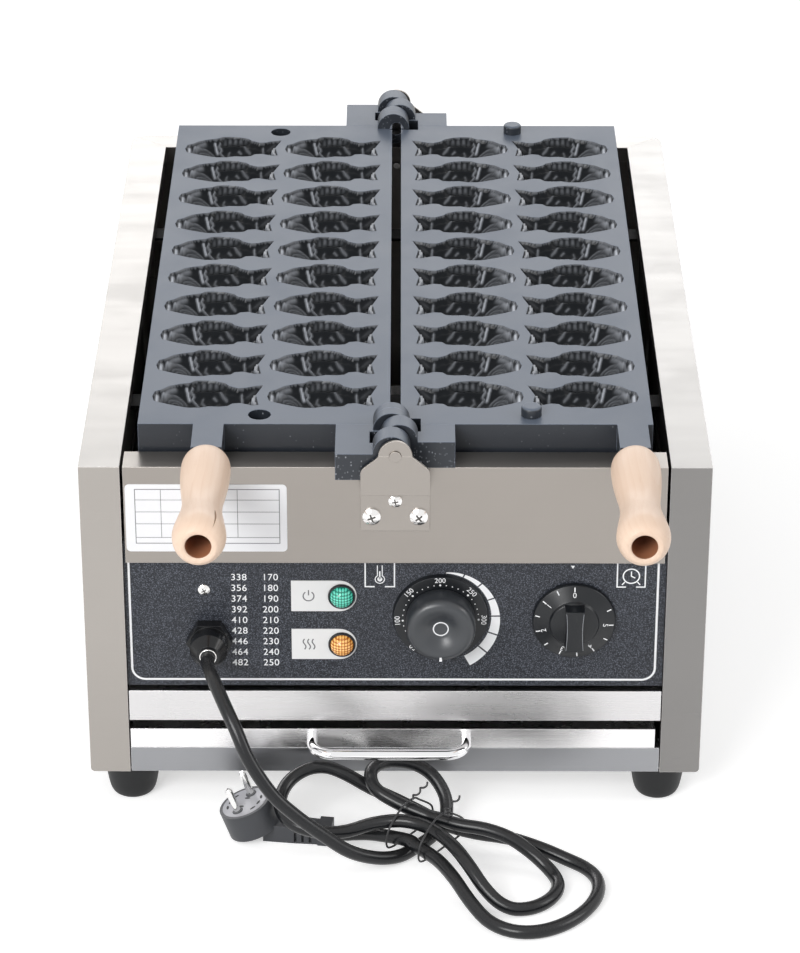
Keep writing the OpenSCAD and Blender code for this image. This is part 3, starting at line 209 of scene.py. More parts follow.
def ribbon(points, width, closed=False):
    """The outlines of a line drawn with a width, one for each stretch, which meet in mitred corners."""
    ways = [(Vector(b) - Vector(a)).normalized() for a, b in zip(points, points[1:] + points[:1])]
    ways = ways if closed else ways[:-1]
    rims = []
    for i, point in enumerate(points):
        before = ways[i - 1] if closed or i > 0 else ways[0]
        after = ways[i] if closed or i < len(ways) else ways[-1]
        across = (before + after).normalized()
        reach = width / 2 / max(0.3, across.dot(after))
        rims.append((point[0] - across.y * reach, point[1] + across.x * reach,
                     point[0] + across.y * reach, point[1] - across.x * reach))
    pairs = list(zip(rims, rims[1:] + rims[:1]))
    return [[a[:2], a[2:], b[2:], b[:2]] for a, b in (pairs if closed else pairs[:-1])]


def circle(x, y, r, steps=48, start=0.0, stop=360.0):
    """Points on a circle or an arc, in millimetres and degrees."""
    whole = abs(stop - start) >= 360
    return [way(angle, r, x, y) for angle in np.linspace(start, stop, steps, endpoint=not whole)]


print("helpers for shapes are ready")

# %% Helpers for node trees
class Tree:
    """A node tree with short calls for the nodes that the finishes use."""

    def __init__(self, tree):
        self.tree = tree

    def feed(self, node, sockets):
        """Links or sets some inputs of a node."""
        for key, value in sockets.items():
            if isinstance(value, bpy.types.NodeSocket):
                self.tree.links.new(value, node.inputs[key])
            else:
                node.inputs[key].default_value = value
        return node

    def add(self, kind, sockets=None, **settings):
        """A new node with its settings and inputs."""
        node = self.tree.nodes.new(kind)
        for key, value in settings.items():
            setattr(node, key, value)
        return self.feed(node, sockets or {})

    def math(self, operation, a, b=0.0, clamp=False):
        return self.add("ShaderNodeMath", {0: a, 1: b}, operation=operation, use_clamp=clamp).outputs[0]

    def plus(self, a, b):
        return self.math("ADD", a, b)

    def times(self, a, b):
        return self.math("MULTIPLY", a, b)

    def ramp(self, value, low, high, to_low=0.0, to_high=1.0):
        """A value brought from one range into another, and held inside it."""
        return self.add("ShaderNodeMapRange", {"Value": value, "From Min": low, "From Max": high,
                                               "To Min": to_low, "To Max": to_high}).outputs[0]

    def mix(self, share, a, b):
        """A colour between a and b."""
        return self.add("ShaderNodeMix", {0: share, 6: a, 7: b}, data_type="RGBA").outputs[2]

    def place(self, stretch=None):
        """The place on the piece, stretched if asked."""
        where = self.add("ShaderNodeTexCoord").outputs["Object"]
        if stretch is None:
            return where
        return self.add("ShaderNodeVectorMath", {0: where, 1: stretch}, operation="MULTIPLY").outputs[0]

    def upward(self):
        """How far a face looks up: 1 on top, 0 on a wall, -1 below."""
        normal = self.add("ShaderNodeNewGeometry").outputs["Normal"]
        return self.add("ShaderNodeSeparateXYZ", {0: normal}).outputs[2]

    def noise(self, where, scale, detail=3.0, roughness=0.5):
        return self.add("ShaderNodeTexNoise", {"Vector": where, "Scale": scale, "Detail": detail,
                                               "Roughness": roughness}).outputs[0]

    def bump(self, height, depth, strength=0.5, normal=None):
        """A normal bent by a height, over a normal that may be bent already. The depth is in millimetres."""
        sockets = {"Height": height, "Distance": depth * MM, "Strength": strength}
        if normal is not None:
            sockets["Normal"] = normal
        return self.add("ShaderNodeBump", sockets).outputs[0]

    def effect(self, group, **values):
        """A shared node group with values for some of its inputs."""
        sockets = {key.replace("_", " "): value for key, value in values.items()}
        return self.add("ShaderNodeGroup", sockets, node_tree=group).outputs


def new_effect(name, inputs, outputs):
    """A node group with named inputs, given with their values, and named outputs."""
    group = bpy.data.node_groups.new(name, "ShaderNodeTree")
    for label, value in inputs.items():
        kind = "NodeSocketVector" if isinstance(value, tuple) else "NodeSocketFloat"
        group.interface.new_socket(label, in_out="INPUT", socket_type=kind).default_value = value
    for label, kind in outputs.items():
        group.interface.new_socket(label, in_out="OUTPUT", socket_type="NodeSocket" + kind)
    tree = Tree(group)
    return group, tree, tree.add("NodeGroupInput").outputs, tree.add("NodeGroupOutput")


def new_material(name):
    """A material, its node tree and its shader."""
    material = bpy.data.materials.new(name)
    material.use_nodes = True
    return material, Tree(material.node_tree), material.node_tree.nodes["Principled BSDF"]


def scaled(color, share=1.0):
    """A colour made lighter or darker, with the alpha that a socket asks for."""
    return tuple(min(1.0, channel * share) for channel in color) + (1.0,)


print("helpers for finishes are ready")

# %% [markdown]
# ## Floor, backdrop and light
# The photograph has a plain white ground with soft light. The floor is a white sheet that also glows a
# little for the camera and for reflections, so it comes out white and still keeps the shadow. The light
# comes from a broad lamp above and in front, and a long one behind, which the steel rims and the coated
# plates mirror. A small lamp on the right fills in.

# %% World
AMBIENT = 0.5
world = bpy.data.worlds.new("studio")
bpy.context.scene.world = world
world.use_nodes = True
bpy.context.scene.view_settings.view_transform = "Standard"


def seen_rays(tree):
    """A mask that is 1 for the rays that show the background: camera, glossy and transmission rays."""
    rays = tree.add("ShaderNodeLightPath").outputs
    mirrored = tree.math("MAXIMUM", rays["Is Glossy Ray"], rays["Is Transmission Ray"])
    return tree.math("MAXIMUM", rays["Is Camera Ray"], mirrored)


sky = Tree(world.node_tree)
strength = sky.ramp(seen_rays(sky), 0.0, 1.0, AMBIENT, 1.0)
sky.feed(world.node_tree.nodes["Background"], {"Color": (1, 1, 1, 1), "Strength": strength})
print("ambient light", AMBIENT)

# %% Floor
FLOOR_REACH = 9.0
FLOOR_GLOW = 0.5
FLOOR_WHITE = (0.8, 0.8, 0.8)
floor_mesh = bpy.data.meshes.new("floor")
corners = [(x * FLOOR_REACH, y * FLOOR_REACH, 0) for x, y in ((-1, -1), (1, -1), (1, 1), (-1, 1))]
floor_mesh.from_pydata(corners, [], [(0, 1, 2, 3)])
floor = bpy.data.objects.new("floor", floor_mesh)
bpy.context.scene.collection.objects.link(floor)
floor_paint, tree, shader = new_material("floor paint")
glow = tree.times(seen_rays(tree), FLOOR_GLOW)
tree.feed(shader, {"Base Color": scaled(FLOOR_WHITE), "Roughness": 0.9, "Specular IOR Level": 0.0,
                   "Emission Color": (1, 1, 1, 1), "Emission Strength": glow})
floor_mesh.materials.append(floor_paint)
print("floor is", 2 * FLOOR_REACH, "m across")

# %% Lamps
def soft_lamp(name, at, towards, size, power):
    """A rectangular lamp at a place in metres, turned towards another place."""
    lamp = bpy.data.objects.new(name, bpy.data.lights.new(name, "AREA"))
    lamp.data.shape = "RECTANGLE"
    lamp.data.size, lamp.data.size_y = size
    lamp.data.energy = power
    lamp.location = at
    lamp.rotation_euler = (Vector(towards) - Vector(at)).to_track_quat("-Z", "Y").to_euler()
    bpy.context.scene.collection.objects.link(lamp)


soft_lamp("key lamp", (-1.5, -2.6, 1.9), (0, 0, 0.15), (1.8, 1.4), 66)
soft_lamp("back lamp", (0.2, 3.2, 1.55), (0, 0, 0.25), (4.2, 1.0), 26)
soft_lamp("side lamp", (2.6, -0.6, 1.6), (0, 0, 0.15), (1.2, 1.2), 14)
print("three lamps")

# %% [markdown]
# ## Effects shared by several finishes
# Each effect is a node group, built once. A group gives out only masks, values and normals, and the shader
# that uses them stays in the material. Object coordinates are used throughout, so a pattern stays on its
# piece when the piece moves.

# %% Effect: rolled sheet
# Steel sheet carries fine streaks along the rolling direction, and faint clouds where it was wiped.
sheet_grain, tree, given, result = new_effect(
    "Sheet Grain", {"Stretch": (6.0, 60.0, 900.0), "Cloud Size": 9.0},
    {"Streaks": "Float", "Clouds": "Float"})
tree.feed(result, {"Streaks": tree.noise(tree.place(given["Stretch"]), 1.0, 4.0, 0.6),
                   "Clouds": tree.noise(tree.place(), given["Cloud Size"], 4.0)})
print(sheet_grain.name, "is ready")

# %% Effect: cast skin
# Cast metal under a sprayed coating has a fine pebble, small bright specks and larger uneven patches.
cast_skin, tree, given, result = new_effect(
    "Cast Skin", {"Pebble": 700.0, "Speck Size": 420.0, "Speck Share": 0.3},
    {"Height": "Float", "Specks": "Float", "Patches": "Float"})
where = tree.place()
cells = tree.add("ShaderNodeTexVoronoi", {"Vector": where, "Scale": given["Speck Size"]}).outputs
lit = tree.math("LESS_THAN", cells["Color"], given["Speck Share"])
tree.feed(result, {"Height": tree.noise(where, given["Pebble"], 3.0, 0.6),
                   "Specks": tree.times(lit, tree.ramp(cells["Distance"], 0.42, 0.12)),
                   "Patches": tree.noise(where, 22.0, 5.0, 0.62)})
print(cast_skin.name, "is ready")

# %% Effect: soft edge
# Real edges are never perfectly sharp. The rounded normal catches a thin highlight, and where it differs
# from the true normal the finishes paint the colour brighter, as a painted highlight.
soft_edge, tree, given, result = new_effect(
    "Soft Edge", {"Radius": 0.0006}, {"Normal": "Vector", "Edge": "Float"})
rounded = tree.add("ShaderNodeBevel", {"Radius": given["Radius"]}, samples=4).outputs[0]
straight = tree.add("ShaderNodeNewGeometry").outputs["Normal"]
agree = tree.add("ShaderNodeVectorMath", {0: rounded, 1: straight}, operation="DOT_PRODUCT").outputs["Value"]
# The Edge output marks where the finishes put a painted highlight.
tree.feed(result, {"Normal": rounded, "Edge": tree.ramp(agree, 0.98, 0.8)})
print(soft_edge.name, "is ready")

# %% Effect: handling
# Fingerprints and wiping leave duller patches, and dust settles on what faces up.
handling, tree, given, result = new_effect(
    "Handling", {"Patch Size": 30.0, "Dust Grain": 900.0}, {"Smudges": "Float", "Dust": "Float"})
where = tree.place()
smear = tree.noise(where, given["Patch Size"], 5.0, 0.65)
settled = tree.times(tree.ramp(tree.upward(), 0.3, 0.95), tree.noise(where, given["Dust Grain"], 2.0))
tree.feed(result, {"Smudges": tree.ramp(smear, 0.48, 0.66), "Dust": settled})
print(handling.name, "is ready")

# %% [markdown]
# ## Finishes
# One function makes the plain metals, plastics, rubbers and inks. It varies the colour in clouds, roughens
# it in streaks and smudges, paints a highlight on the edges and adds a fine bump. Sheet steel, wood, lenses,
# the plates and the speckled panel have nodes of their own further down.

# %% The common finish
DUST = (0.5, 0.48, 0.46)
SMUDGE_DULLS = 0.06


def finish(name, color, roughness, metallic=0.0, spread=0.1, stretch=(300.0, 300.0, 300.0), rough_spread=0.12,
           bump=0.0, radius=0.0, painted_edge_light=1.25, dust=0.0, cloud=9.0, mirror=0.5):
    """A material for one kind of surface, with a linear colour.

    Colour and roughness vary by spread and rough_spread. Edges are rounded by radius, and the edge light
    factor scales their colour as a painted highlight.
    Bump and radius are in millimetres, and mirror is how strongly the clear surface mirrors.
    """
    material, tree, shader = new_material(name)
    sheet = tree.effect(sheet_grain, Stretch=stretch, Cloud_Size=cloud)
    marks = tree.effect(handling, Patch_Size=3 * cloud)
    tone = tree.mix(sheet["Clouds"], scaled(color, 1 - spread), scaled(color, 1 + spread))
    normal = None
    # Rounded edges get a painted highlight: their colour is scaled by the edge light factor.
    if radius:
        edges = tree.effect(soft_edge, Radius=radius * MM)
        normal = edges["Normal"]
        tone = tree.mix(edges["Edge"], tone, scaled(color, painted_edge_light))
    if dust:
        tone = tree.mix(tree.times(marks["Dust"], dust), tone, scaled(DUST))
    if bump:
        normal = tree.bump(sheet["Streaks"], bump, 0.6, normal)
    if normal is not None:
        tree.feed(shader, {"Normal": normal})
    wear_and_highlight = tree.times(tree.math("SUBTRACT", sheet["Streaks"], 0.5), rough_spread)
    rough = tree.plus(tree.plus(wear_and_highlight, roughness), tree.times(marks["Smudges"], SMUDGE_DULLS))
    tree.feed(shader, {"Base Color": tone, "Roughness": rough, "Metallic": metallic,
                       "Specular IOR Level": mirror})
    return material


print("the common finish is ready")

# %% Sheet steel
# What faces up is painted in one colour and what stands upright in another, as painted light and shade,
# and the edges get a painted highlight.
def sheet_steel(name, top, front, roughness):
    """Brushed steel sheet, with a linear colour for its upper faces and one for its upright faces, painted as
    light and shade.
    """
    material, tree, shader = new_material(name)
    sheet = tree.effect(sheet_grain, Stretch=(7.0, 60.0, 1100.0), Cloud_Size=5.0)
    marks = tree.effect(handling, Patch_Size=15.0)
    edges = tree.effect(soft_edge, Radius=0.7 * MM)
    # The colour by facing direction is painted light and shade.
    base = tree.mix(tree.ramp(tree.upward(), 0.2, 0.8), scaled(front), scaled(top))
    lit = tree.ramp(sheet["Clouds"], 0.3, 0.7, 0.96, 1.04)
    tone = tree.add("ShaderNodeVectorMath", {0: base, 3: lit}, operation="SCALE").outputs[0]
    rough = tree.ramp(sheet["Streaks"], 0.2, 0.8, roughness - 0.04, roughness + 0.05)
    # Edges are painted at twice the top colour: a painted highlight.
    tree.feed(shader, {"Base Color": tree.mix(edges["Edge"], tone, scaled(top, 2.1)), "Metallic": 1.0,
                       "Roughness": tree.plus(rough, tree.times(marks["Smudges"], 0.05)),
                       "Normal": tree.bump(sheet["Streaks"], 0.006, 0.6, edges["Normal"])})
    return material


# Each of these is one steel with its colours painted lighter or darker, as painted light and shade for that
# sheet.
casing_steel = sheet_steel("casing steel", (0.42, 0.405, 0.39), (0.395, 0.37, 0.345), 0.30)
cover_shaded_steel = sheet_steel("cover shaded steel", (0.40, 0.375, 0.35), (0.335, 0.308, 0.283), 0.32)
right_casing_shaded_steel = sheet_steel("right casing shaded steel", (0.40, 0.39, 0.38), (0.245, 0.238, 0.232), 0.30)
rail_lit_steel = sheet_steel("rail steel", (0.52, 0.515, 0.52), (0.69, 0.68, 0.685), 0.26)
lower_rail_shaded_steel = sheet_steel("lower rail shaded steel", (0.42, 0.42, 0.43), (0.33, 0.335, 0.35), 0.34)
print("sheet steels are ready")

# %% Other metals
inner_steel = finish("inner steel", (0.30, 0.295, 0.29), 0.42, 1.0, spread=0.2, stretch=(8.0, 300.0, 300.0),
                     rough_spread=0.2)
tray_steel = finish("tray steel", (0.93, 0.92, 0.925), 0.26, 1.0, spread=0.05, stretch=(8.0, 60.0, 900.0),
                    rough_spread=0.14, bump=0.005, radius=0.5, cloud=6.0)
handle_chrome = finish("handle chrome", (0.86, 0.86, 0.87), 0.07, 1.0, spread=0.03, rough_spread=0.05)
screw_steel = finish("screw steel", (0.88, 0.87, 0.86), 0.13, 1.0, spread=0.05, rough_spread=0.08, radius=0.3)
bracket_steel = finish("bracket steel", (0.36, 0.332, 0.306), 0.33, 1.0, spread=0.05,
                       stretch=(500.0, 500.0, 12.0), rough_spread=0.16, bump=0.006, radius=0.5,
                       painted_edge_light=1.5)
element_steel = finish("element steel", (0.22, 0.20, 0.18), 0.5, 0.9, spread=0.35, rough_spread=0.25,
                       cloud=40.0)
sooty_steel = finish("sooty steel", (0.030, 0.029, 0.029), 0.6, 0.5, spread=0.3, rough_spread=0.2, cloud=40.0)
# Dark steel for the screw crosses: painted shade for the recesses.
recess_shade_steel = finish("recess shade steel", (0.10, 0.095, 0.09), 0.4, 1.0, spread=0.2, rough_spread=0.2)
pin_metal = finish("plug pin metal", (0.86, 0.86, 0.85), 0.12, 1.0, spread=0.05, rough_spread=0.1)
print("metals are ready")

# %% Rubbers and plastics
foot_rubber = finish("foot rubber", (0.009, 0.0095, 0.0105), 0.5, spread=0.2, bump=0.02, radius=0.8,
                     painted_edge_light=1.8, dust=0.15, mirror=0.35)
knob_plastic = finish("knob plastic", (0.008, 0.0095, 0.012), 0.3, spread=0.12, rough_spread=0.08,
                      radius=0.5, painted_edge_light=5.0, cloud=40.0, mirror=0.42)
cap_plastic = finish("cap plastic", (0.022, 0.026, 0.032), 0.36, spread=0.12, rough_spread=0.06, radius=0.5,
                     painted_edge_light=2.0, cloud=30.0, mirror=0.85)
# Pale grey for the painted highlight along the timer bar's edges.
painted_highlight_plastic = finish("knob plastic highlight", (0.26, 0.27, 0.29), 0.5, spread=0.3, rough_spread=0.1,
                        cloud=90.0)
body_plastic = finish("body plastic", (0.62, 0.58, 0.47), 0.45, spread=0.08, bump=0.01, radius=0.4)
tag_plastic = finish("tag plastic", (0.86, 0.86, 0.86), 0.3, spread=0.02, radius=0.3, painted_edge_light=0.9,
                     cloud=60.0)
gland_plastic = finish("gland plastic", (0.006, 0.0065, 0.0075), 0.22, spread=0.2, bump=0.01, radius=0.6,
                       painted_edge_light=4.0, mirror=0.4)
terminal_plastic = finish("terminal plastic", (0.75, 0.73, 0.66), 0.4, spread=0.06, radius=0.4)
cord_sheath = finish("cord sheath", (0.008, 0.0088, 0.0105), 0.22, spread=0.15, stretch=(700.0, 700.0, 700.0),
                     rough_spread=0.1, bump=0.01, dust=0.05, mirror=0.4)
plug_plastic = finish("plug plastic", (0.050, 0.053, 0.060), 0.42, spread=0.12, stretch=(900.0, 900.0, 900.0),
                      bump=0.02, radius=0.7, painted_edge_light=1.5, dust=0.1)
plug_face_plastic = finish("plug face plastic", (0.42, 0.42, 0.45), 0.3, spread=0.08, bump=0.01)
tie_wire = finish("tie wire", (0.030, 0.030, 0.032), 0.4, spread=0.2, bump=0.01)
label_film = finish("label film", (0.90, 0.905, 0.93), 0.35, spread=0.015, rough_spread=0.06)
print("rubbers and plastics are ready")

# %% [markdown]
# ### The coating of the mould plates
# The plates are cast aluminium with a baked non-stick coat. It is a dark blue-grey that looks much paler
# where it mirrors the light behind, and the cast walls show bright specks and fine vertical scores. Walls
# and tops are told apart by the direction that they face: walls are painted far darker, as painted shade,
# and edges get a painted highlight.

# %% Plate coating
PLATE_BLUE = (0.113, 0.136, 0.178)
SPECK_WHITE = (0.55, 0.58, 0.64)
plate_coating, tree, shader = new_material("plate coating")
skin = tree.effect(cast_skin, Pebble=900.0, Speck_Size=520.0, Speck_Share=0.34)
marks = tree.effect(handling, Patch_Size=16.0)
edges = tree.effect(soft_edge, Radius=0.8 * MM)
wall = tree.ramp(tree.math("ABSOLUTE", tree.upward()), 0.75, 0.45)
scores = tree.noise(tree.place((900.0, 900.0, 25.0)), 1.0, 3.0, 0.6)
tone = tree.mix(skin["Patches"], scaled(PLATE_BLUE, 0.88), scaled(PLATE_BLUE, 1.12))
# Walls are painted a tenth as bright as tops: painted shade.
tone = tree.mix(tree.times(wall, 0.9), tone, scaled(PLATE_BLUE, 0.10))
flecks = tree.times(tree.times(skin["Specks"], wall), tree.ramp(scores, 0.45, 0.7))
tone = tree.mix(tree.times(flecks, 0.9), tone, scaled(SPECK_WHITE))
# Edges get a painted highlight.
tone = tree.mix(tree.times(edges["Edge"], 0.8), tone, scaled(PLATE_BLUE, 2.2))
uneven = tree.times(tree.math("SUBTRACT", skin["Patches"], 0.5), 0.14)
rough = tree.plus(tree.plus(tree.times(marks["Smudges"], 0.05), 0.40), uneven)
height = tree.plus(skin["Height"], tree.times(tree.times(scores, wall), 1.5))
tree.feed(shader, {"Base Color": tone, "Roughness": rough,
                   "Normal": tree.bump(height, 0.06, 0.5, edges["Normal"])})
print(plate_coating.name, "is ready")

# %% Cavity coating
# The coat in the cavities is black and glossy. Lips, edges and crests are painted pale as painted
# highlights, which the linings mark on their points.
HIGHLIGHT_ATTRIBUTE = "wear_and_highlight"
HIGHLIGHT_PALE = (0.80, 0.84, 0.92)
cavity_coating, tree, shader = new_material("cavity coating")
wear_and_highlight = tree.add("ShaderNodeAttribute", attribute_name=HIGHLIGHT_ATTRIBUTE).outputs["Fac"]
blotches = tree.noise(tree.place(), 160.0, 3.0)
black = tree.mix(blotches, (0.0035, 0.0045, 0.006, 1), (0.009, 0.011, 0.014, 1))
# The pale mix on the marked points is a painted highlight.
highlight_share = tree.math("MULTIPLY", wear_and_highlight, tree.ramp(blotches, 0.3, 0.6, 0.75, 1.0), clamp=True)
tree.feed(shader, {"Base Color": tree.mix(highlight_share, black, scaled(HIGHLIGHT_PALE)), "Specular IOR Level": 0.12,
                   "Roughness": tree.ramp(highlight_share, 0.0, 1.0, 0.16, 0.38),
                   "Normal": tree.bump(tree.noise(tree.place(), 900.0), 0.02)})
print(cavity_coating.name, "is ready")

# %% [markdown]
# ### The panel, its lenses and its print
# The control panel is painted dark slate with a dense pale speckle. The lamps are clear coloured plastic
# with a grid of small prisms. Print is drawn with thin pieces of its own, in a slightly uneven white.

# %% Speckled panel paint
panel_paint, tree, shader = new_material("panel paint")
speckle = tree.effect(cast_skin, Pebble=1500.0, Speck_Size=900.0, Speck_Share=0.42)
cloudy = tree.noise(tree.place(), 16.0, 4.0)
ground = tree.mix(cloudy, (0.009, 0.0105, 0.0145, 1), (0.020, 0.023, 0.031, 1))
fine = tree.ramp(tree.noise(tree.place(), 1300.0, 2.0, 0.7), 0.5, 0.68)
dots = tree.math("MAXIMUM", speckle["Specks"], tree.times(fine, 0.55))
tree.feed(shader, {"Base Color": tree.mix(dots, ground, (0.17, 0.185, 0.225, 1)), "Specular IOR Level": 0.35,
                   "Roughness": tree.plus(tree.times(dots, 0.1), 0.33),
                   "Normal": tree.bump(speckle["Height"], 0.03)})
print(panel_paint.name, "is ready")


# %% Lenses and inks
def lens_plastic(name, color, glow):
    """Clear coloured plastic with a grid of small prisms moulded in it; each prism's middle is painted paler
    and glows more, as painted glints.
    """
    material, tree, shader = new_material(name)
    grid = tree.add("ShaderNodeTexVoronoi",
                    {"Vector": tree.place((1, 0, 1)), "Scale": 520.0, "Randomness": 0.0}).outputs
    prisms = tree.ramp(grid["Distance"], 0.46, 0.30)
    uneven = tree.ramp(tree.noise(tree.place(), 400.0), 0.3, 0.7, 0.06, 0.14)
    # The paler, brighter middle of each prism is a painted glint.
    tree.feed(shader, {"Base Color": tree.mix(prisms, scaled(color, 0.55), scaled(glow)), "Roughness": uneven,
                       "Emission Color": tree.mix(prisms, scaled(color, 0.25), scaled(color, 0.9)),
                       "Emission Strength": 0.35, "Coat Weight": 0.6, "Normal": tree.bump(prisms, 0.25, 0.8)})
    return material


INK_GRAIN = (900.0, 900.0, 900.0)
green_lens = lens_plastic("green lens", (0.005, 0.36, 0.24), (0.16, 0.80, 0.62))
amber_lens = lens_plastic("amber lens", (0.86, 0.24, 0.01), (1.0, 0.66, 0.22))
white_ink = finish("white ink", (0.95, 0.96, 0.98), 0.42, spread=0.03, stretch=INK_GRAIN, cloud=70.0)
grey_ink = finish("grey ink", (0.16, 0.16, 0.17), 0.45, spread=0.1, stretch=INK_GRAIN, cloud=70.0)
# Black for the plug's holes: painted shade.
hole_shade_black = finish("hole shade black", (0.010, 0.010, 0.011), 0.5, spread=0.2, rough_spread=0.2)
print("lenses and inks are ready")

# %% [markdown]
# ### Turned wood
# The grips are pale wood, turned on a lathe. Growth rings are thin shells around a line that runs beside
# the grip, so they show as long arches along it. Fine fibres run the same way, and the bore is darker.

# %% Grip wood
HEART_X, HEART_Z = 0.03, 0.16
RINGS_PER_M = 240.0
grip_wood, tree, shader = new_material("grip wood")
bent = tree.noise(tree.place((5.0, 1.5, 5.0)), 1.0, 2.0)
apart = tree.add("ShaderNodeSeparateXYZ", {0: tree.place()}).outputs
beside = tree.math("POWER", tree.math("SUBTRACT", apart[0], HEART_X), 2.0)
above = tree.math("POWER", tree.math("SUBTRACT", apart[2], HEART_Z), 2.0)
from_heart = tree.plus(tree.math("SQRT", tree.plus(beside, above)), tree.times(bent, 0.012))
growth = tree.math("POWER", tree.math("FRACT", tree.times(from_heart, RINGS_PER_M)), 2.5)
fibre = tree.noise(tree.place((900.0, 22.0, 900.0)), 1.0, 4.0, 0.6)
pale = tree.mix(tree.noise(tree.place(), 20.0, 3.0), (0.86, 0.64, 0.49, 1), (0.92, 0.71, 0.56, 1))
grained = tree.mix(tree.times(growth, 0.16), pale, (0.76, 0.50, 0.34, 1))
flecked = tree.mix(tree.ramp(fibre, 0.55, 0.75, 0.0, 0.16), grained, (0.66, 0.42, 0.28, 1))
tree.feed(shader, {"Base Color": flecked, "Roughness": tree.ramp(fibre, 0.3, 0.7, 0.40, 0.52),
                   "Coat Weight": 0.12, "Normal": tree.bump(fibre, 0.03)})
bore_wood = finish("bore wood", (0.40, 0.17, 0.085), 0.6, spread=0.3, stretch=(900.0, 60.0, 900.0), bump=0.04,
                   cloud=60.0)
knot_wood = finish("knot wood", (0.30, 0.17, 0.09), 0.55, spread=0.4, stretch=(900.0, 60.0, 900.0),
                   cloud=90.0)
print(grip_wood.name, "is ready")

# %% [markdown]
# ## Finishes on the carried-over solids
# Every solid of the imported model that stays in view gets its finish by its material slot in the record, so
# a screw is always screw steel wherever it sits. A few sheets are painted lighter or darker than the rest of
# their slot, as painted light and shade, or stand in soot, and are named one by one.

# %% Give each solid its finish
SLOT_FINISH = {
    "casing_steel": casing_steel, "inner_steel": inner_steel, "tray_steel": tray_steel,
    "handle_chrome": handle_chrome, "screw_steel": screw_steel, "bracket_steel": bracket_steel,
    "foot_rubber": foot_rubber, "plate_coating": plate_coating, "grip_wood": grip_wood,
    "label_paper": label_film, "panel_paint": panel_paint, "element_steel": element_steel,
    "knob_plastic": knob_plastic, "body_plastic": body_plastic, "tag_plastic": tag_plastic,
    "green_lens": green_lens, "amber_lens": amber_lens, "gland_plastic": gland_plastic,
    "terminal_plastic": terminal_plastic, "cord_sheath": cord_sheath, "tie_wire": tie_wire,
    "plug_plastic": plug_plastic, "plug_pin_steel": pin_metal,
}
NODE_FINISH = {
    "right_side_casing": right_casing_shaded_steel, "front_cover": cover_shaded_steel, "front_rail": rail_lit_steel,
    "lower_rail": lower_rail_shaded_steel, "element_supports": sooty_steel, "rear_hinge_pin": handle_chrome,
}
for name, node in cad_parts.items():
    for place in node.material_slots:
        place.material = NODE_FINISH.get(name, SLOT_FINISH[place.material.name.split(".")[0]])
print("finished", len(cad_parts), "solids")

# %% [markdown]
# ## The power cord
# The lead leaves the gland, falls in front of the panel, passes under the tied bundle and comes back up
# through its waist. The bundle is a lying figure of eight of three lobes, and the end runs out to the plug.
# A cord could be simulated, but this one is tied, so its line is drawn: a few listed points for the
# lead and the tail, and a formula for the lobes.

# %% The route of the cord
CORD_D = 9.2
CORD_Z = CORD_D / 2 - FOOT_H
CORD_LAYER = CORD_D + 1.2
GLAND = (-124.0, -301.0, 103.0)
WAIST = (24.0, -343.0)
RIGHT_TURN, LEFT_TURN = math.radians(-38), math.radians(-16)
LOBE_REACH = (98, 104, 124)
LOBE_BULGE = (50, 44, 76)
LEFT_TILT = math.radians(20)
LEFT_LIFT = 25
STRAND_STEP, STRAND_SPREAD = 6.2, 10.0
NEAR_WAIST, NEAR_FADE, LEFT_FADE = 34, 56, 70
LOBE_SOFT, LOBE_FULL = 0.3, 0.744


def ease(t):
    """A soft step from 0 to 1."""
    t = min(1.0, max(0.0, t))
    return t * t * (3 - 2 * t)


def on_bundle(along, across, turn):
    """A point in the housing's plan, given along and across a line through the waist of the bundle."""
    return (WAIST[0] + along * math.cos(turn) - across * math.sin(turn),
            WAIST[1] + along * math.sin(turn) + across * math.cos(turn))


def bundle_point(turn):
    """A point of the bundle after so many degrees, running out through a lobe and back."""
    lobe = min(int(turn // 180), 2)
    s = math.sin(math.radians(turn))
    step = STRAND_STEP + STRAND_SPREAD * min(1.0, max(0.0, (turn - 180) / 180))
    along = LOBE_REACH[lobe] * s
    opening = (math.sqrt(s * s + LOBE_SOFT ** 2) - LOBE_SOFT) / LOBE_FULL
    across = math.cos(math.radians(turn)) * (step + LOBE_BULGE[lobe] * opening)
    left = ease(-along / LEFT_FADE)
    near = 1 - ease((abs(along) - NEAR_WAIST) / NEAR_FADE)
    layer = 2 if turn < 270 else 1
    lift = layer * CORD_LAYER * near + LEFT_LIFT * left * (1 - near) + across * math.sin(LEFT_TILT * left)
    x, y = on_bundle(along, across * math.cos(LEFT_TILT * left), RIGHT_TURN + (LEFT_TURN - RIGHT_TURN) * left)
    return np.array([x, y, max(CORD_Z, CORD_Z + lift)])


def run(from_point, to_point):
    """One cord diameter in the direction from one point to another."""
    return (to_point - from_point) / np.linalg.norm(to_point - from_point) * CORD_D


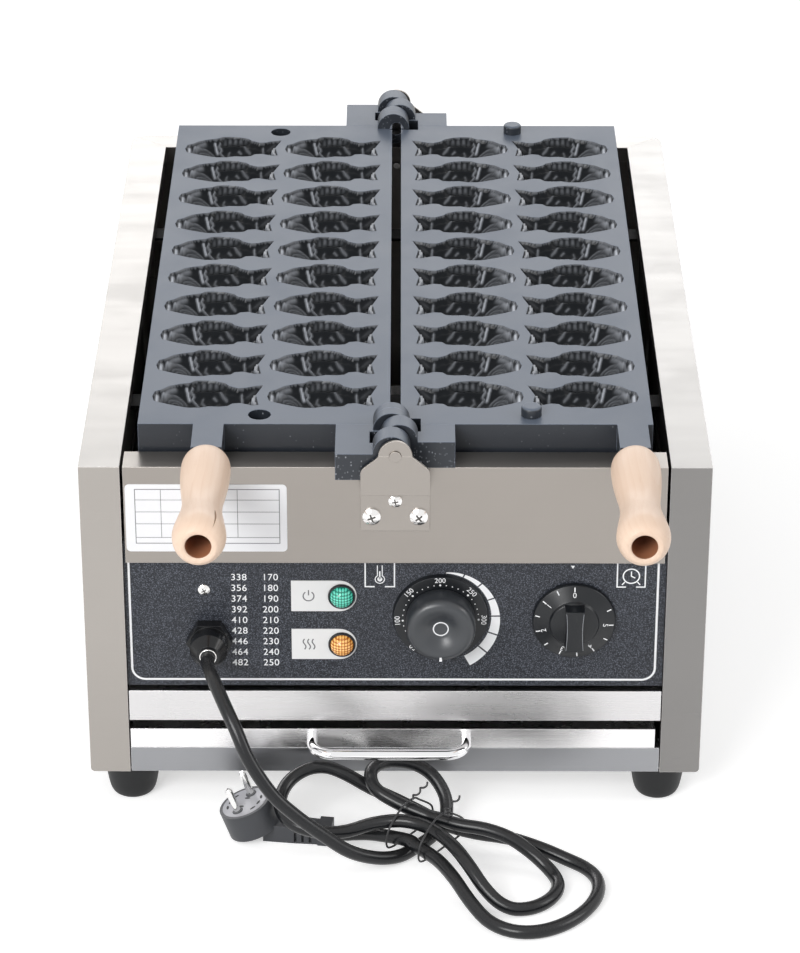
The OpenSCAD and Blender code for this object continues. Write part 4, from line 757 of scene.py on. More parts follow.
BUNDLE_TURNS = range(0, 541, 10)
RELIEF_END = np.array([-42.0, -327.0, 6.25 - FOOT_H])
RELIEF_WAY = np.array([*way(171), 0.0])
bundle = [bundle_point(turn) for turn in BUNDLE_TURNS]
gx, gy, gz = GLAND
lead = [(gx, gy, gz), (gx, gy - CORD_D / 2, gz), (gx, gy - CORD_D, gz), (-119, -328, 101), (-112, -345, 94),
        (-104, -359, 83), (-95, -369, 65), (-81, -375, 44), (-66, -376, 28), (-48, -374, 11), (-30, -370, -5),
        (-12, -362, -15.5), (3, -353, -19.9), (15, -341, -20.2), (26, -327, -20.1), (34, -313, -17),
        (34, -300, -7), (25, -290, 4), (11, -286.5, 11), (-6, -289.5, 14), (-16, -301, 13.5),
        (-13, -316, 9.5), (2, -326, 4.5), bundle[0] - run(bundle[0], bundle[1]), bundle[0]]
tail = [bundle[-1], bundle[-1] + run(bundle[-2], bundle[-1]), (-14, -335, -14.5), (-27, -329.3, -17.9),
        RELIEF_END - CORD_D * RELIEF_WAY, RELIEF_END]
route = smooth_line(lead, 5) + smooth_line(bundle, 3)[1:] + smooth_line(tail, 5)[1:]
measured = sum(np.linalg.norm(b - a) for a, b in zip(route, route[1:])) * MM
print("cord route:", len(route), "points,", round(measured, 4), "m")

# %% The cord
power_lead = wire("power_lead", route, CORD_D, cord_sheath, roundness=5)
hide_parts("power_cord", "cord_hank", "cord_tail")
print("cord is", CORD_D, "mm thick")

# %% [markdown]
# ### The wire ties
# Two thin coated wires hold the waist of the bundle. Each is a closed loop through a few points around the
# strands. Its two ends are twisted together on top, which one coil of wire shows.

# %% Wire ties
TIE_D = 1.4
TIE_PLACES = (-18, 9)
TIE_OUTLINE = [(-17, -17), (17, -17), (23.5, -15.2), (25.5, -10), (22.5, -4), (11, 5.5), (5, 9.8), (-5, 9.8),
               (-12, 7), (-22, -1), (-25, -10), (-23, -15.2)]
COIL_R, COIL_H, COIL_TURN, COIL_POINTS = 1.1, 0.9, 14, 60
COIL_Y, COIL_Z = 2, 10.4
COIL_ALONG, COIL_ACROSS, COIL_UP = 0.25, 0.9, 0.55
loop = smooth_line(TIE_OUTLINE + TIE_OUTLINE[:1], 4)[:-1]
for number, along in enumerate(TIE_PLACES, 1):
    around = [(*on_bundle(along, across, RIGHT_TURN), z) for across, z in loop]
    wire(f"wire_tie_{number}", around, TIE_D, tie_wire, closed=True)
    twist = [(*on_bundle(along + COIL_R * math.cos(t) + COIL_ALONG * t, COIL_Y + COIL_ACROSS * t, RIGHT_TURN),
              COIL_Z + COIL_UP * t + COIL_H * math.sin(t)) for t in np.linspace(0, COIL_TURN, COIL_POINTS)]
    wire(f"tie_twist_{number}", twist, TIE_D, tie_wire)
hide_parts("cord_ties")

# %% [markdown]
# ### The plug
# The plug lies on its back with its two pins up. The solid gives its body and pins, and these pieces add
# what shows on its face: a pale round inset with small holes, and a collar round each pin. The holes are
# black slits set on the face, painted shade.

# %% Plug details
PLUG_FACE = (-101.0, -318.0, -0.5)
PLUG_LEAN = math.radians(-20)
PIN_TURN = 62
PIN_FAR = 9.5
HOLES = ((0, 11.5), (30, 12.0), (150, 12.0), (180, 11.5), (210, 12.0), (330, 12.0), (90, 4.5), (270, 4.5))
plug_place = Matrix.Translation(spot(*PLUG_FACE)) @ Matrix.Rotation(PLUG_LEAN, 4, "Y")


def on_plug(angle, far, turn=0.0):
    """A place on the plug's face, in a direction from its middle, with z towards the pins."""
    return plug_place @ Matrix.Translation(Vector((*way(angle, far), 0)) * MM) @ Matrix.Rotation(
        math.radians(turn), 4, "Z")


disc = lathe([(0.01, 0.25), (15.2, 0.25), (15.8, 0.1), (15.8, -0.6)], on_plug(0, 0), 72)
plug_face = shape_piece("plug_face", disc, plug_face_plastic, "housing")
slit = [(2.2 * x, 0.9 * y) for x, y in circle(0, 0, 1, 16)]
holes = [prism(slit, 0.0, 0.33, on_plug(PIN_TURN + 90 + turn, far, PIN_TURN + turn)) for turn, far in HOLES]
# Black slits on the face stand for the holes: painted shade.
plug_holes = shape_piece("plug_holes", together(holes), hole_shade_black, "housing")
COLLAR = [(2.41, 0.9), (3.3, 0.9), (3.7, 0.5), (3.7, 0.2)]
collars = [lathe(COLLAR, on_plug(PIN_TURN, side * PIN_FAR), 32) for side in (-1, 1)]
plug_collars = shape_piece("plug_collars", together(collars), plug_plastic, "housing")
print("the cord carries its plug and ties")

# %% [markdown]
# ## The fish cavities
# The solid has each cavity as an outline with two depths. What bakes into the cakes is finer: lips, rings
# round the eye, a ragged gill edge, scales, fins and a forked tail. A lining of fine mesh carries that
# relief. Its height is worked out on a grid for one fish, and copies are laid in all the cavities of a
# plate. Sculpting would also do, but formulas keep the twenty fish of a plate alike, as a pattern maker's
# tool does.

# %% Outlines of a fish
FISH_L, FISH_W = 73.5, 41.0
FISH = [(0, 42), (2, 60), (8, 67), (15, 80), (24, 87), (33, 91), (38, 99), (46, 100), (57, 97), (65, 90),
        (69, 80), (77, 72), (84, 73), (91, 79), (100, 83), (97, 66), (94, 48), (96, 22), (97, 11), (92, 9),
        (80, 18), (73, 16), (69, 7), (62, 5), (52, 6), (44, 1), (34, 1), (28, 4), (17, 12), (8, 20), (2, 26)]
BELLY = [(4, 40), (8, 56), (16, 69), (28, 78), (42, 80), (56, 76), (68, 66), (80, 57), (88, 54), (88, 42),
         (80, 36), (68, 28), (56, 21), (42, 18), (28, 20), (16, 26), (7, 32)]


def fish_mm(outline):
    """A line in percent from the mouth and from the belly, in millimetres from the middle of the mouth."""
    return np.array([(FISH_L * along / 100, FISH_W * (up - 50) / 100) for along, up in outline])


def nearest_on_line(points, starts, ends):
    """For each point, the distance to a line in stretches and the nearest place on it."""
    best = np.full(len(points), np.inf)
    nearest = np.zeros_like(points)
    for a, b in zip(starts, ends):
        share = np.clip(((points - a) @ (b - a)) / ((b - a) @ (b - a)), 0, 1)
        foot = a + share[:, None] * (b - a)
        gap = np.linalg.norm(points - foot, axis=1)
        closer = gap < best
        best[closer], nearest[closer] = gap[closer], foot[closer]
    return best, nearest


def edge_distance(points, outline):
    """For each point, the distance to a closed outline and the nearest place on it."""
    return nearest_on_line(points, outline, np.roll(outline, -1, axis=0))


def is_inside(points, outline):
    inside = np.zeros(len(points), bool)
    for (x1, y1), (x2, y2) in zip(outline, np.roll(outline, -1, axis=0)):
        crosses = (y1 > points[:, 1]) != (y2 > points[:, 1])
        at = x1 + (points[:, 1] - y1) * (x2 - x1) / (y2 - y1 + 1e-12)
        inside ^= crosses & (points[:, 0] < at)
    return inside


def ridge(distance, width):
    """A rounded ridge over the places that lie within a width of a line."""
    return np.exp(-(distance / width) ** 2)


def line_ridge(x, y, points, width):
    """A ridge along a line given in percent of the fish."""
    line = fish_mm(points)
    return ridge(nearest_on_line(np.stack([x, y], axis=1), line, line[1:])[0], width)


def span(value, start, stop, soft_start, soft_stop):
    """A mask that rises softly after start and falls softly to nothing at stop."""
    return np.clip((value - start) / soft_start, 0, 1) * np.clip((stop - value) / soft_stop, 0, 1)


print("the outline of a fish has", len(FISH), "points")

# %% Relief of a fish
# Each line has its course in percent of the fish, its width and height in millimetres, and how much painted
# highlight it carries.
LINES = {
    "edge of the lips": ([(4, 38), (4, 57)], 1.1, 2.0, 0.9),
    "line behind the lips": ([(7.5, 34), (7.8, 52), (9.5, 66)], 0.7, 1.2, 0.25),
    "brow": ([(10.5, 62), (14, 74), (19, 80)], 1.5, 1.6, 0.26),
    "gill": ([(30, 85), (31.5, 76), (33, 68)], 0.75, 1.2, 0.6),
    "edge of the gill": ([(35.5, 88), (34, 80), (37, 75), (35.5, 70), (39.5, 60), (41.5, 52)],
                         0.65, 1.5, 0.3),
    "root of the tail": ([(80.5, 66), (81, 56), (81.5, 44)], 0.7, 1.2, 0.3),
    "upper ray": ([(86, 62), (93, 76)], 1.4, 1.0, 0.05),
    "lower ray": ([(87, 46), (92, 22)], 1.4, 1.0, 0.05),
}
BACK_LINES = ([(45, 70), (44, 62), (47, 55)], [(61, 76), (64, 66), (67, 60)], [(55, 70), (57.5, 64)])
EYE = (0.205 * FISH_L, 0.045 * FISH_W)
EYE_RINGS = (2.4, 4.7, 7.2)
SCALE_PITCH = (7.2, 5.6)
SCALE_R = 5.2
SCALE_H, SCALE_BASE, SCALE_TILT = 1.7, 0.75, 0.3


def scales(x, y):
    """Overlapping round scales in staggered rows, each tilted up towards the tail."""
    height = np.zeros_like(x)
    for row in range(-3, 4):
        for column in range(4, 10):
            cx = SCALE_PITCH[0] * (column + 0.5 * (row % 2))
            cy = SCALE_PITCH[1] * row
            r = np.hypot(x - cx, y - cy) / SCALE_R
            tilted = SCALE_BASE + SCALE_TILT * (x - cx) / SCALE_R
            height = np.maximum(height, np.clip(1 - r ** 2, 0, 1) * tilted)
    return height


def relief(x, y):
    """Height of the details of a fish above the plain bowl, in millimetres, and how much painted highlight
    they carry.
    """
    along, up = 100 * x / FISH_L, 100 * y / FISH_W + 50
    from_eye = np.hypot(x - EYE[0], (y - EYE[1]) * 1.15)
    angle = np.degrees(np.arctan2(y - EYE[1], x - EYE[0]))
    rings = span(angle, -10, 190, 25, 25) * sum(ridge(from_eye - radius, 0.75) for radius in EYE_RINGS)
    height = 1.1 * rings + 0.9 * ridge(from_eye, 1.3)
    highlight_share = 0.16 * rings
    for course, width, rise, wear_and_highlight in LINES.values():
        crest = line_ridge(x, y, course, width)
        height += rise * crest
        highlight_share += wear_and_highlight * crest
    body = span(along, 41, 77, 5, 6)
    height += SCALE_H * body * scales(x, y)
    highlight_share += 0.2 * body * sum(line_ridge(x, y, line, 0.75) for line in BACK_LINES)
    fin = np.clip((up - 84) / 6, 0, 1) * span(along, 38, 68, 4, 4) * (0.5 + 0.5 * np.cos(x * 1.5))
    return height + 0.9 * fin, np.clip(highlight_share + 0.14 * fin, 0, 1)


# %% Mesh of one fish
# Grid points near the outline are drawn onto it, so the lining has a clean edge. The crescent is a flat
# island between the forks of the tail.
CELL, MARGIN = 0.9, 1.0
CRESCENT = [(91.6, 47), (94.3, 46), (93.6, 36), (94.0, 24), (95.2, 13), (92.2, 12), (90.4, 24), (90.2, 36)]
EDGE_DEPTH, EDGE_SLOPE = 5.6, 1.5
BELLY_DEPTH, BELLY_SLOPE = 5.8, 4.0
DEEPEST_EDGE, DEEPEST_BELLY = -5.8, -11.8
DETAIL_RIM, BELLY_RIM = 1.8, 0.6
SNAP_OUTSIDE, SNAP_INSIDE = 0.75 * CELL, 0.3 * CELL
LIP_Z, HIGHEST_Z, ISLAND_Z = 0.02, -0.02, -0.1
# Shares of painted highlight on the lips and on the crescent.
LIP_HIGHLIGHT, ISLAND_HIGHLIGHT = 0.25, 0.42
fish_edge, fish_belly = fish_mm(FISH), fish_mm(BELLY)
across = np.arange(-MARGIN, FISH_L + MARGIN, CELL)
upward = np.arange(-FISH_W / 2 - MARGIN, FISH_W / 2 + MARGIN, CELL)
grid = np.array([(x, y) for x in across for y in upward])
within = is_inside(grid, fish_edge)
gap, nearest = edge_distance(grid, fish_edge)
snap = (~within & (gap < SNAP_OUTSIDE)) | (within & (gap < SNAP_INSIDE))
grid[snap] = nearest[snap]
kept = within | snap
gap[snap] = 0.0
in_belly = is_inside(grid, fish_belly)
belly_gap = edge_distance(grid, fish_belly)[0]
bowl = EDGE_DEPTH * (1 - np.exp(-gap / EDGE_SLOPE))
bowl += np.where(in_belly, BELLY_DEPTH * (1 - np.exp(-belly_gap / BELLY_SLOPE)), 0.0)
detail, fish_highlight = relief(grid[:, 0], grid[:, 1])
inner = np.clip(gap / DETAIL_RIM, 0, 1)
floor_z = np.where(in_belly & (belly_gap > BELLY_RIM), DEEPEST_BELLY, DEEPEST_EDGE)
island = is_inside(grid, fish_mm(CRESCENT))
fish_height = np.minimum(np.maximum(detail * inner - bowl, floor_z), HIGHEST_Z)
fish_height = np.where(island, ISLAND_Z, fish_height)
fish_height[snap] = LIP_Z
fish_highlight = np.where(island, ISLAND_HIGHLIGHT, np.where(snap, LIP_HIGHLIGHT, fish_highlight * inner))
columns, rows = len(across), len(upward)
fish_cells = [(i * rows + j, (i + 1) * rows + j, (i + 1) * rows + j + 1, i * rows + j + 1)
              for i in range(columns - 1) for j in range(rows - 1)]
fish_cells = [cell for cell in fish_cells if all(kept[k] for k in cell)]
used = sorted({k for cell in fish_cells for k in cell})
renumber = {k: n for n, k in enumerate(used)}
fish_cells = [tuple(renumber[k] for k in cell) for cell in fish_cells]
fish_points = np.column_stack([grid[used], fish_height[used]])
fish_highlight = fish_highlight[used]
print("one fish has", len(fish_points), "points, deepest", round(float(fish_points[:, 2].min()), 1), "mm")

# %% Linings of both plates
FIRST_TAIL, COLUMN_PITCH, COLUMNS = 11.8, 76.5, 2
ROW_PITCH, ROWS = 47.0, 10


def lining(name, side, body):
    """All the fish of one plate: side is -1 for the left one, where the mouths point left."""
    points, cells = [], []
    for row in range(ROWS):
        for column in range(COLUMNS):
            start = len(points)
            mouth_x = FIRST_TAIL + column * COLUMN_PITCH + FISH_L
            middle_y = (row - (ROWS - 1) / 2) * ROW_PITCH
            points += [spot(side * (mouth_x - x), y + middle_y, PLATE_TOP + z) for x, y, z in fish_points]
            cells += [tuple(start + k for k in (cell if side < 0 else cell[::-1])) for cell in fish_cells]
    mesh = bpy.data.meshes.new(name)
    mesh.from_pydata([tuple(p) for p in points], [], cells)
    mesh.update()
    mesh.polygons.foreach_set("use_smooth", [True] * len(mesh.polygons))
    # Each point carries its share of painted highlight.
    mesh.attributes.new(HIGHLIGHT_ATTRIBUTE, "FLOAT", "POINT").data.foreach_set("value", np.tile(fish_highlight, COLUMNS * ROWS))
    return place_piece(name, mesh, cavity_coating, body)


linings = [lining("left_fish_lining", -1, "left_plate"), lining("right_fish_lining", 1, "right_plate")]
print("linings:", 2 * COLUMNS * ROWS, "fish,", sum(len(piece.data.polygons) for piece in linings), "faces")

# %% [markdown]
# ## The wooden grips
# Each grip is turned from one piece of wood. The profile is a smooth curve through a few radii, and a lathe
# turns it. The front end has a drilled bore, dark inside, with the nut at its bottom.

# %% Grips
GRIP_BACK = -288.0
GRIP_Z = 240.8
GRIP_BORE_R = 8.3
GRIP_L = 112.0
GRIP_BORE_L = 38.0
LEFT_GRIP_X, RIGHT_GRIP_X = -122.5, 155.5
ROD_R = 4.1
RIM = 0.9
GRIP = [(0, 13), (2, 15), (8, 16.1), (22, 16), (38, 14.8), (56, 13.1), (70, 13.4), (84, 15.4), (97, 17.1),
        (104, 16.4), (109, 14.4), (GRIP_L, 11.6)]
turned = [(float(r), float(h)) for h, r in smooth_line(GRIP, 5)]


def grip(name, x, body, node):
    """One grip: a turned outside, rounded at both ends, and a bore with a slightly eased rim."""
    place = facing_front(x, GRIP_BACK, GRIP_Z)
    rim = [(10.6, GRIP_L), (9.3, GRIP_L), (8.7, GRIP_L - 0.3), (GRIP_BORE_R, GRIP_L - RIM)]
    outside = lathe([(ROD_R, 0.0), (12.6, 0.0)] + turned[1:] + rim, place, 96)
    wood = shape_piece(name, outside, grip_wood, body, smooth=True)
    floor_at = GRIP_L - GRIP_BORE_L
    inside = lathe([(GRIP_BORE_R, GRIP_L - RIM), (GRIP_BORE_R, floor_at), (ROD_R, floor_at)], place, 64)
    shape_piece(name + "_bore", inside, bore_wood, body, smooth=True, sharp=40)
    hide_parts(node)
    return wood


grips = [grip("left_wood_grip", LEFT_GRIP_X, "left_plate", "left_grip"),
         grip("right_wood_grip", RIGHT_GRIP_X, "right_plate", "right_grip")]
print("grips have", [len(piece.data.polygons) for piece in grips], "faces")

# %% Knot on the left grip
# A small dark fleck runs back from the front end of the left grip, as wood often has.
KNOT_ANGLE = math.radians(52)
KNOT_FRONT, KNOT_L, KNOT_STEPS = 108, 24, 12
KNOT_RISE = 0.06
place = facing_front(LEFT_GRIP_X, GRIP_BACK, GRIP_Z)
knot_points = []
for share in np.linspace(0, 1, KNOT_STEPS):
    height = KNOT_FRONT - KNOT_L * share
    radius = float(np.interp(height, [h for _, h in turned], [r for r, _ in turned])) + KNOT_RISE
    # The fleck is pointed at both ends, and widest past its middle.
    half = 0.9 * math.sin(math.pi * min(1, share * 1.1 + 0.02)) ** 0.7 * (0.25 + share)
    for a in (KNOT_ANGLE + side * half / radius for side in (-1, 0, 1)):
        knot_points.append(place @ (Vector((radius * math.cos(a), radius * math.sin(a), height)) * MM))
knot_faces = [(3 * i + k, 3 * i + k + 1, 3 * i + k + 4, 3 * i + k + 3) for i in range(KNOT_STEPS - 1)
              for k in range(2)]
shape_piece("grip_knot", (knot_points, knot_faces), knot_wood, "left_plate", smooth=True)
print("knot is", KNOT_L, "mm long")

# %% [markdown]
# ## Screw heads
# The pan heads are solids already. A Phillips recess is what makes them read as screws, so each gets a
# darker cross with tapered arms, set just proud of the head's crown and dished towards its middle. Its dark
# colour is painted shade for the hollow.

# %% Cross recesses
def cross(arm, width, place, dish=0.25):
    """A thin cross with tapered arms."""
    outline = []
    for quarter in range(4):
        a = math.radians(90 * quarter)
        for x, y in ((width * 0.62, width * 0.62), (width / 2, arm * 0.9), (0, arm), (-width / 2, arm * 0.9)):
            outline.append((x * math.cos(a) - y * math.sin(a), x * math.sin(a) + y * math.cos(a)))
    return prism(outline, -dish, 0.05, place)


# Each front screw has its place, the height and diameter of its head, and how far it was turned.
FRONT_SCREWS = [(-15.5, -282, 199, 3.5, 12, 20), (15.5, -282, 199, 3.5, 12, 38), (0, -282, 211, 3.5, 9, 10),
                (-127, -276, 140.4, 2.8, 8, 30)]
BRACKET_SCREWS = [(-15.5, 199, 12), (15.5, 199, 12), (0, 211, 9)]
# Arms are shares of a head's diameter, but millimetres on the casing.
FRONT_ARM, FRONT_ARM_W = 0.24, 0.08
REAR_ARM, REAR_ARM_W = 0.27, 0.12
CASING_ARM, CASING_ARM_W = 2.0, 0.9
INTO_CROWN = 0.02
CASING_CROWN_Y = REAR_Y + 2.4 - INTO_CROWN
BRACKET_CROWN_Y = REAR_Y + 5.5 - INTO_CROWN
recesses = [cross(head_d * FRONT_ARM, head_d * FRONT_ARM_W, facing_front(x, y - head_h + INTO_CROWN, z, turn))
            for x, y, z, head_h, head_d, turn in FRONT_SCREWS]
recesses += [cross(CASING_ARM, CASING_ARM_W, facing_rear(x, CASING_CROWN_Y, z, x + z))
             for z in (30, 204) for x in (-185, 185)]
recesses += [cross(head_d * REAR_ARM, head_d * REAR_ARM_W, facing_rear(x, BRACKET_CROWN_Y, z, 25))
             for x, z, head_d in BRACKET_SCREWS]
# The crosses are painted shade for the recesses.
shape_piece("screw_crosses", together(recesses), recess_shade_steel, "housing")
print(len(recesses), "cross recesses")

# %% [markdown]
# ## Print on the control panel
# All print is generic: a border line, two columns of temperatures in two scales, a tapering arc that grows
# with the heat, and pictures of a thermometer and a clock. It is made of thin prisms a few hundredths high,
# and of text objects for the numbers.

# %% Panel print
INK_H, INK_ROOT = 0.06, 0.02
NUMBER_H, NUMBER_BOLD = 0.03, 0.01


def ink(name, outlines, place, material, body, low=0.0):
    """Flat shapes printed on a surface, as one piece."""
    shapes = [prism(outline, low - INK_ROOT, low + INK_H, place) for outline in outlines]
    return shape_piece(name, together(shapes), material, body)


def numbers(name, text, x, y, z, size, body, turn=0.0, spacing=1.0):
    """White numbers printed on a front face, centred on a place."""
    words = bpy.data.curves.new(name, "FONT")
    words.body = text
    words.size = size * MM
    words.align_x = "CENTER"
    words.align_y = "CENTER"
    words.space_character = spacing
    words.extrude = NUMBER_H * MM
    words.offset = NUMBER_BOLD * MM
    return place_piece(name, words, white_ink, body, at=facing_front(x, y - NUMBER_H, z, turn))


panel = facing_front(0, PANEL_Y, 0)
LEFT_SIDE, RIGHT_SIDE, BOTTOM, TOP, CORNER = -176.6, 174.5, 70.9, 176.0, 9.0
BORDER_LINE = 1.45
border = [(LEFT_SIDE, TOP)]
border += circle(LEFT_SIDE + CORNER, BOTTOM + CORNER, CORNER, 14, 180, 269.9)
border += circle(RIGHT_SIDE - CORNER, BOTTOM + CORNER, CORNER, 14, 270, 359.9)
border += [(RIGHT_SIDE, TOP)]
ink("panel_border", ribbon(border, BORDER_LINE), panel, white_ink, "housing")

# Each column of numbers is one text of nine lines.
FAHRENHEIT = range(338, 483, 18)
CELSIUS = range(170, 251, 10)
LIST_TOP, LIST_STEP, LIST_SIZE = 149.4, 8.2, 7.0
for name, values, x in (("list_fahrenheit", FAHRENHEIT, -103.8), ("list_celsius", CELSIUS, -83.0)):
    column = numbers(name, "\n".join(map(str, values)), x, PANEL_Y, LIST_TOP - 4 * LIST_STEP, LIST_SIZE,
                     "housing", spacing=1.05)
    column.data.space_line = LIST_STEP / LIST_SIZE
print("border and two columns of", len(CELSIUS), "numbers")

# %% [markdown]
# ## Pictures and arcs beside the controls
# A bar of growing segments runs round the thermostat, thin where it is cool and thick where it is hot. Two
# small framed pictures, a thermometer and a clock, stand above the controls. They are drawn with the same
# ribbons and circles as the border.

# %% Wedge arc round the thermostat
DIAL_AT = (30.3, 120.0)
TIMER_AT = (119.2, 118.0)
ARC_START, ARC_STOP, SEGMENTS, SEGMENT_GAP = 84.0, -64.0, 7, 1.6
INNER_R, INNER_GROWS = 33.0, 1.5
OUTER_R, OUTER_GROWS, OUTER_BEND = 33.5, 9.5, 0.8
step = (ARC_STOP - ARC_START) / SEGMENTS
segments = []
for part in range(SEGMENTS):
    first = ARC_START + part * step
    angles = np.linspace(first, first + step - math.copysign(SEGMENT_GAP, step), 8)
    hotter = [(a, (a - ARC_START) / (ARC_STOP - ARC_START)) for a in angles]
    inner = [way(a, INNER_R + INNER_GROWS * share, *DIAL_AT) for a, share in hotter]
    outer = [way(a, OUTER_R + OUTER_GROWS * share ** OUTER_BEND, *DIAL_AT) for a, share in hotter]
    segments.append(outer + inner[::-1])
ink("heat_wedge", segments, panel, white_ink, "housing")
print(SEGMENTS, "segments")

# %% Thermometer and clock pictures
FRAME_H, FRAME_GAP, LINE, THIN_LINE = 18.5, 6.8, 0.9, 0.8
PICTURE_Z = 151.8
THERMO_X, THERMO_W = -10.2, 19.4
CLOCK_X, CLOCK_W, CLOCK_R = 156.6, 18.6, 5.4


def open_frame(x, width):
    """A frame with a gap in the middle of its lower side."""
    w, low, high = width / 2, PICTURE_Z - FRAME_H / 2, PICTURE_Z + FRAME_H / 2
    return [(x + FRAME_GAP / 2, low), (x + w, low), (x + w, high), (x - w, high), (x - w, low),
            (x - FRAME_GAP / 2, low)]


drawing = ribbon(open_frame(THERMO_X, THERMO_W), LINE) + ribbon(open_frame(CLOCK_X, CLOCK_W), LINE)
bulb_z = PICTURE_Z - 3.6
drawing.append(circle(THERMO_X, bulb_z, 1.7, 20))
drawing += ribbon([(THERMO_X, bulb_z), (THERMO_X, bulb_z + 6)], LINE)
tube = [(THERMO_X + 1.6, bulb_z + 10.5)] + circle(THERMO_X, bulb_z, 3.1, 20, 59, -239)
tube.append((THERMO_X - 1.6, bulb_z + 10.5))
drawing += ribbon(tube, 0.6)
clock_z = PICTURE_Z - 1.0
drawing += ribbon(circle(CLOCK_X, clock_z, CLOCK_R, 36), LINE, closed=True)
drawing += ribbon([(CLOCK_X, clock_z + 3.6), (CLOCK_X, clock_z), (CLOCK_X + 2.6, clock_z - 1.4)], THIN_LINE)
for side in (-1, 1):
    leg = [(CLOCK_X + side * 4.2, clock_z - 4.4), (CLOCK_X + side * 6.0, clock_z - 6.6)]
    drawing += ribbon(leg, THIN_LINE)
ink("panel_pictures", drawing, panel, white_ink, "housing")
index = [(116.4, 158.6), (117.7, 156.4), (119.0, 158.6)]
ink("timer_index", [index], panel, white_ink, "housing")
print("two pictures")

# %% [markdown]
# ## The thermostat's dial and cap
# The numbers stand on a fixed disc, and the black cap with a dished front turns in front of it. The cap is
# one turned profile, so a lathe makes it. A plain ring stands in its middle, and a white mark shows the
# setting.

# %% Dial numbers
DIAL_FACE_Y = -279.0
NUMBER_R, NUMBER_SIZE, DOT_R = 28.7, 5.0, 25.3
BIG_DOT, SMALL_DOT = 0.75, 0.42
HEATS, NUMBERED = range(50, 301, 10), 50
TOP_HEAT, TOP_TURN, TURN_PER_DEGREE = 200, 91, 0.93


def dial_angle(value):
    """Where a temperature stands on the dial. The scale runs clockwise, and 200 is close to the top."""
    return TOP_TURN - (value - TOP_HEAT) * TURN_PER_DEGREE


dots = []
for value in HEATS:
    angle = dial_angle(value)
    dots.append(circle(*way(angle, DOT_R), BIG_DOT if value % NUMBERED == 0 else SMALL_DOT, 10))
    if value % NUMBERED == 0:
        x, z = way(angle, NUMBER_R, *DIAL_AT)
        numbers(f"dial_{value}", str(value), x, DIAL_FACE_Y, z, NUMBER_SIZE, "housing", turn=angle - 90)
dial_place = facing_front(DIAL_AT[0], DIAL_FACE_Y, DIAL_AT[1])
ink("dial_dots", dots, dial_place, white_ink, "housing")
print("dial with", len(dots), "dots")

# %% Thermostat cap
# The cap has a broad rounded shoulder and a dish like a funnel, which mirrors the lamp as a soft glow.
KNOB_GAP = 0.4
CAP_R, CAP_H, DISH_Z = 23.2, 18.9, 13.5
cap_place = facing_front(DIAL_AT[0], DIAL_FACE_Y - KNOB_GAP, DIAL_AT[1])
SHOULDER = [(CAP_R, 12.5), (CAP_R - 0.3, 14.8), (CAP_R - 1.2, 16.8), (CAP_R - 2.8, 18.3), (18.4, CAP_H),
            (16.0, 18.6), (13.5, 17.8), (11.0, 16.6), (8.8, 15.2), (7.0, 14.1), (5.5, 13.6)]
shoulder = [tuple(map(float, p)) for p in smooth_line(SHOULDER, 3)]
cap_profile = [(9.5, 0.0), (22.6, 0.0), (22.9, 0.5)] + shoulder + [(0.02, DISH_Z)]
cap = shape_piece("thermostat_cap", lathe(cap_profile, cap_place, 120), cap_plastic, "thermostat_control",
                  smooth=True, sharp=50)
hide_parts("thermostat_knob")
mark = prism([(-0.9, -22.0), (0.9, -22.0), (0.7, -19.0), (-0.7, -19.0)], CAP_H - 1.2, CAP_H + 0.02, cap_place)
ring = [prism(o, DISH_Z - 0.2, DISH_Z + 0.25, cap_place) for o in ribbon(circle(0, 0, 4.9), 0.8, closed=True)]
shape_piece("cap_print", together([mark] + ring), white_ink, "thermostat_control")
print("cap is", 2 * CAP_R, "mm across")

# %% [markdown]
# ## The timer's knob
# The timer has a wide skirt with numbers from 0 to 5 and a bar across it to turn it by. The bar's long
# sides are hollowed a little, and a thin paler line along its two upper edges is a painted highlight.
# The bar is one box whose points are pushed by a formula, so its sides stay clean, and a bevel rounds it.

# %% Timer skirt
TIMER_FACE_Y = PANEL_Y - KNOB_GAP
SKIRT_R, SKIRT_T, SKIRT_RIM, HUB_R = 27.85, 5.0, 3.6, 16.5
timer_place = facing_front(TIMER_AT[0], TIMER_FACE_Y, TIMER_AT[1])
skirt_profile = [(9.5, 0.0), (SKIRT_R - 0.3, 0.0), (SKIRT_R, 0.4), (SKIRT_R - 0.2, 2.9),
                 (SKIRT_R - 0.9, SKIRT_RIM), (HUB_R + 0.6, SKIRT_T + 0.6), (HUB_R, SKIRT_T + 1.2),
                 (HUB_R - 0.4, 7.6), (HUB_R - 1.4, 8.2), (0.02, 8.3)]
skirt = shape_piece("timer_skirt", lathe(skirt_profile, timer_place, 120), knob_plastic, "timer_control",
                    smooth=True, sharp=50)
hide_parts("timer_knob")
print("timer knob is", 2 * SKIRT_R, "mm across")

# %% Timer bar
BAR_W, BAR_L, BAR_H, BAR_FOOT = 13.3, 31.0, 18.0, 7.0
BAR_STEPS, BAR_LAYERS = 24, 5
BAR_LEAN, BAR_WAIST = 0.06, 0.86
BAR_END, END_SHARE = 0.45, 0.985
BAR_EDGE, BAR_CORNER = 0.25, 40
HIGHLIGHT_IN, HIGHLIGHT_LINE = 0.35, 0.4


def bar_side(layer):
    """The right side of the bar at one of its layers, narrower in the middle and towards the top."""
    lean = 1 - BAR_LEAN * layer / BAR_LAYERS
    side = []
    for y in np.linspace(-BAR_L / 2, BAR_L / 2, BAR_STEPS + 1):
        half = BAR_W / 2 * (BAR_WAIST + (1 - BAR_WAIST) * (2 * y / BAR_L) ** 2) * lean
        side.append((half, y * (END_SHARE if abs(y) > BAR_L * BAR_END else 1.0)))
    return side


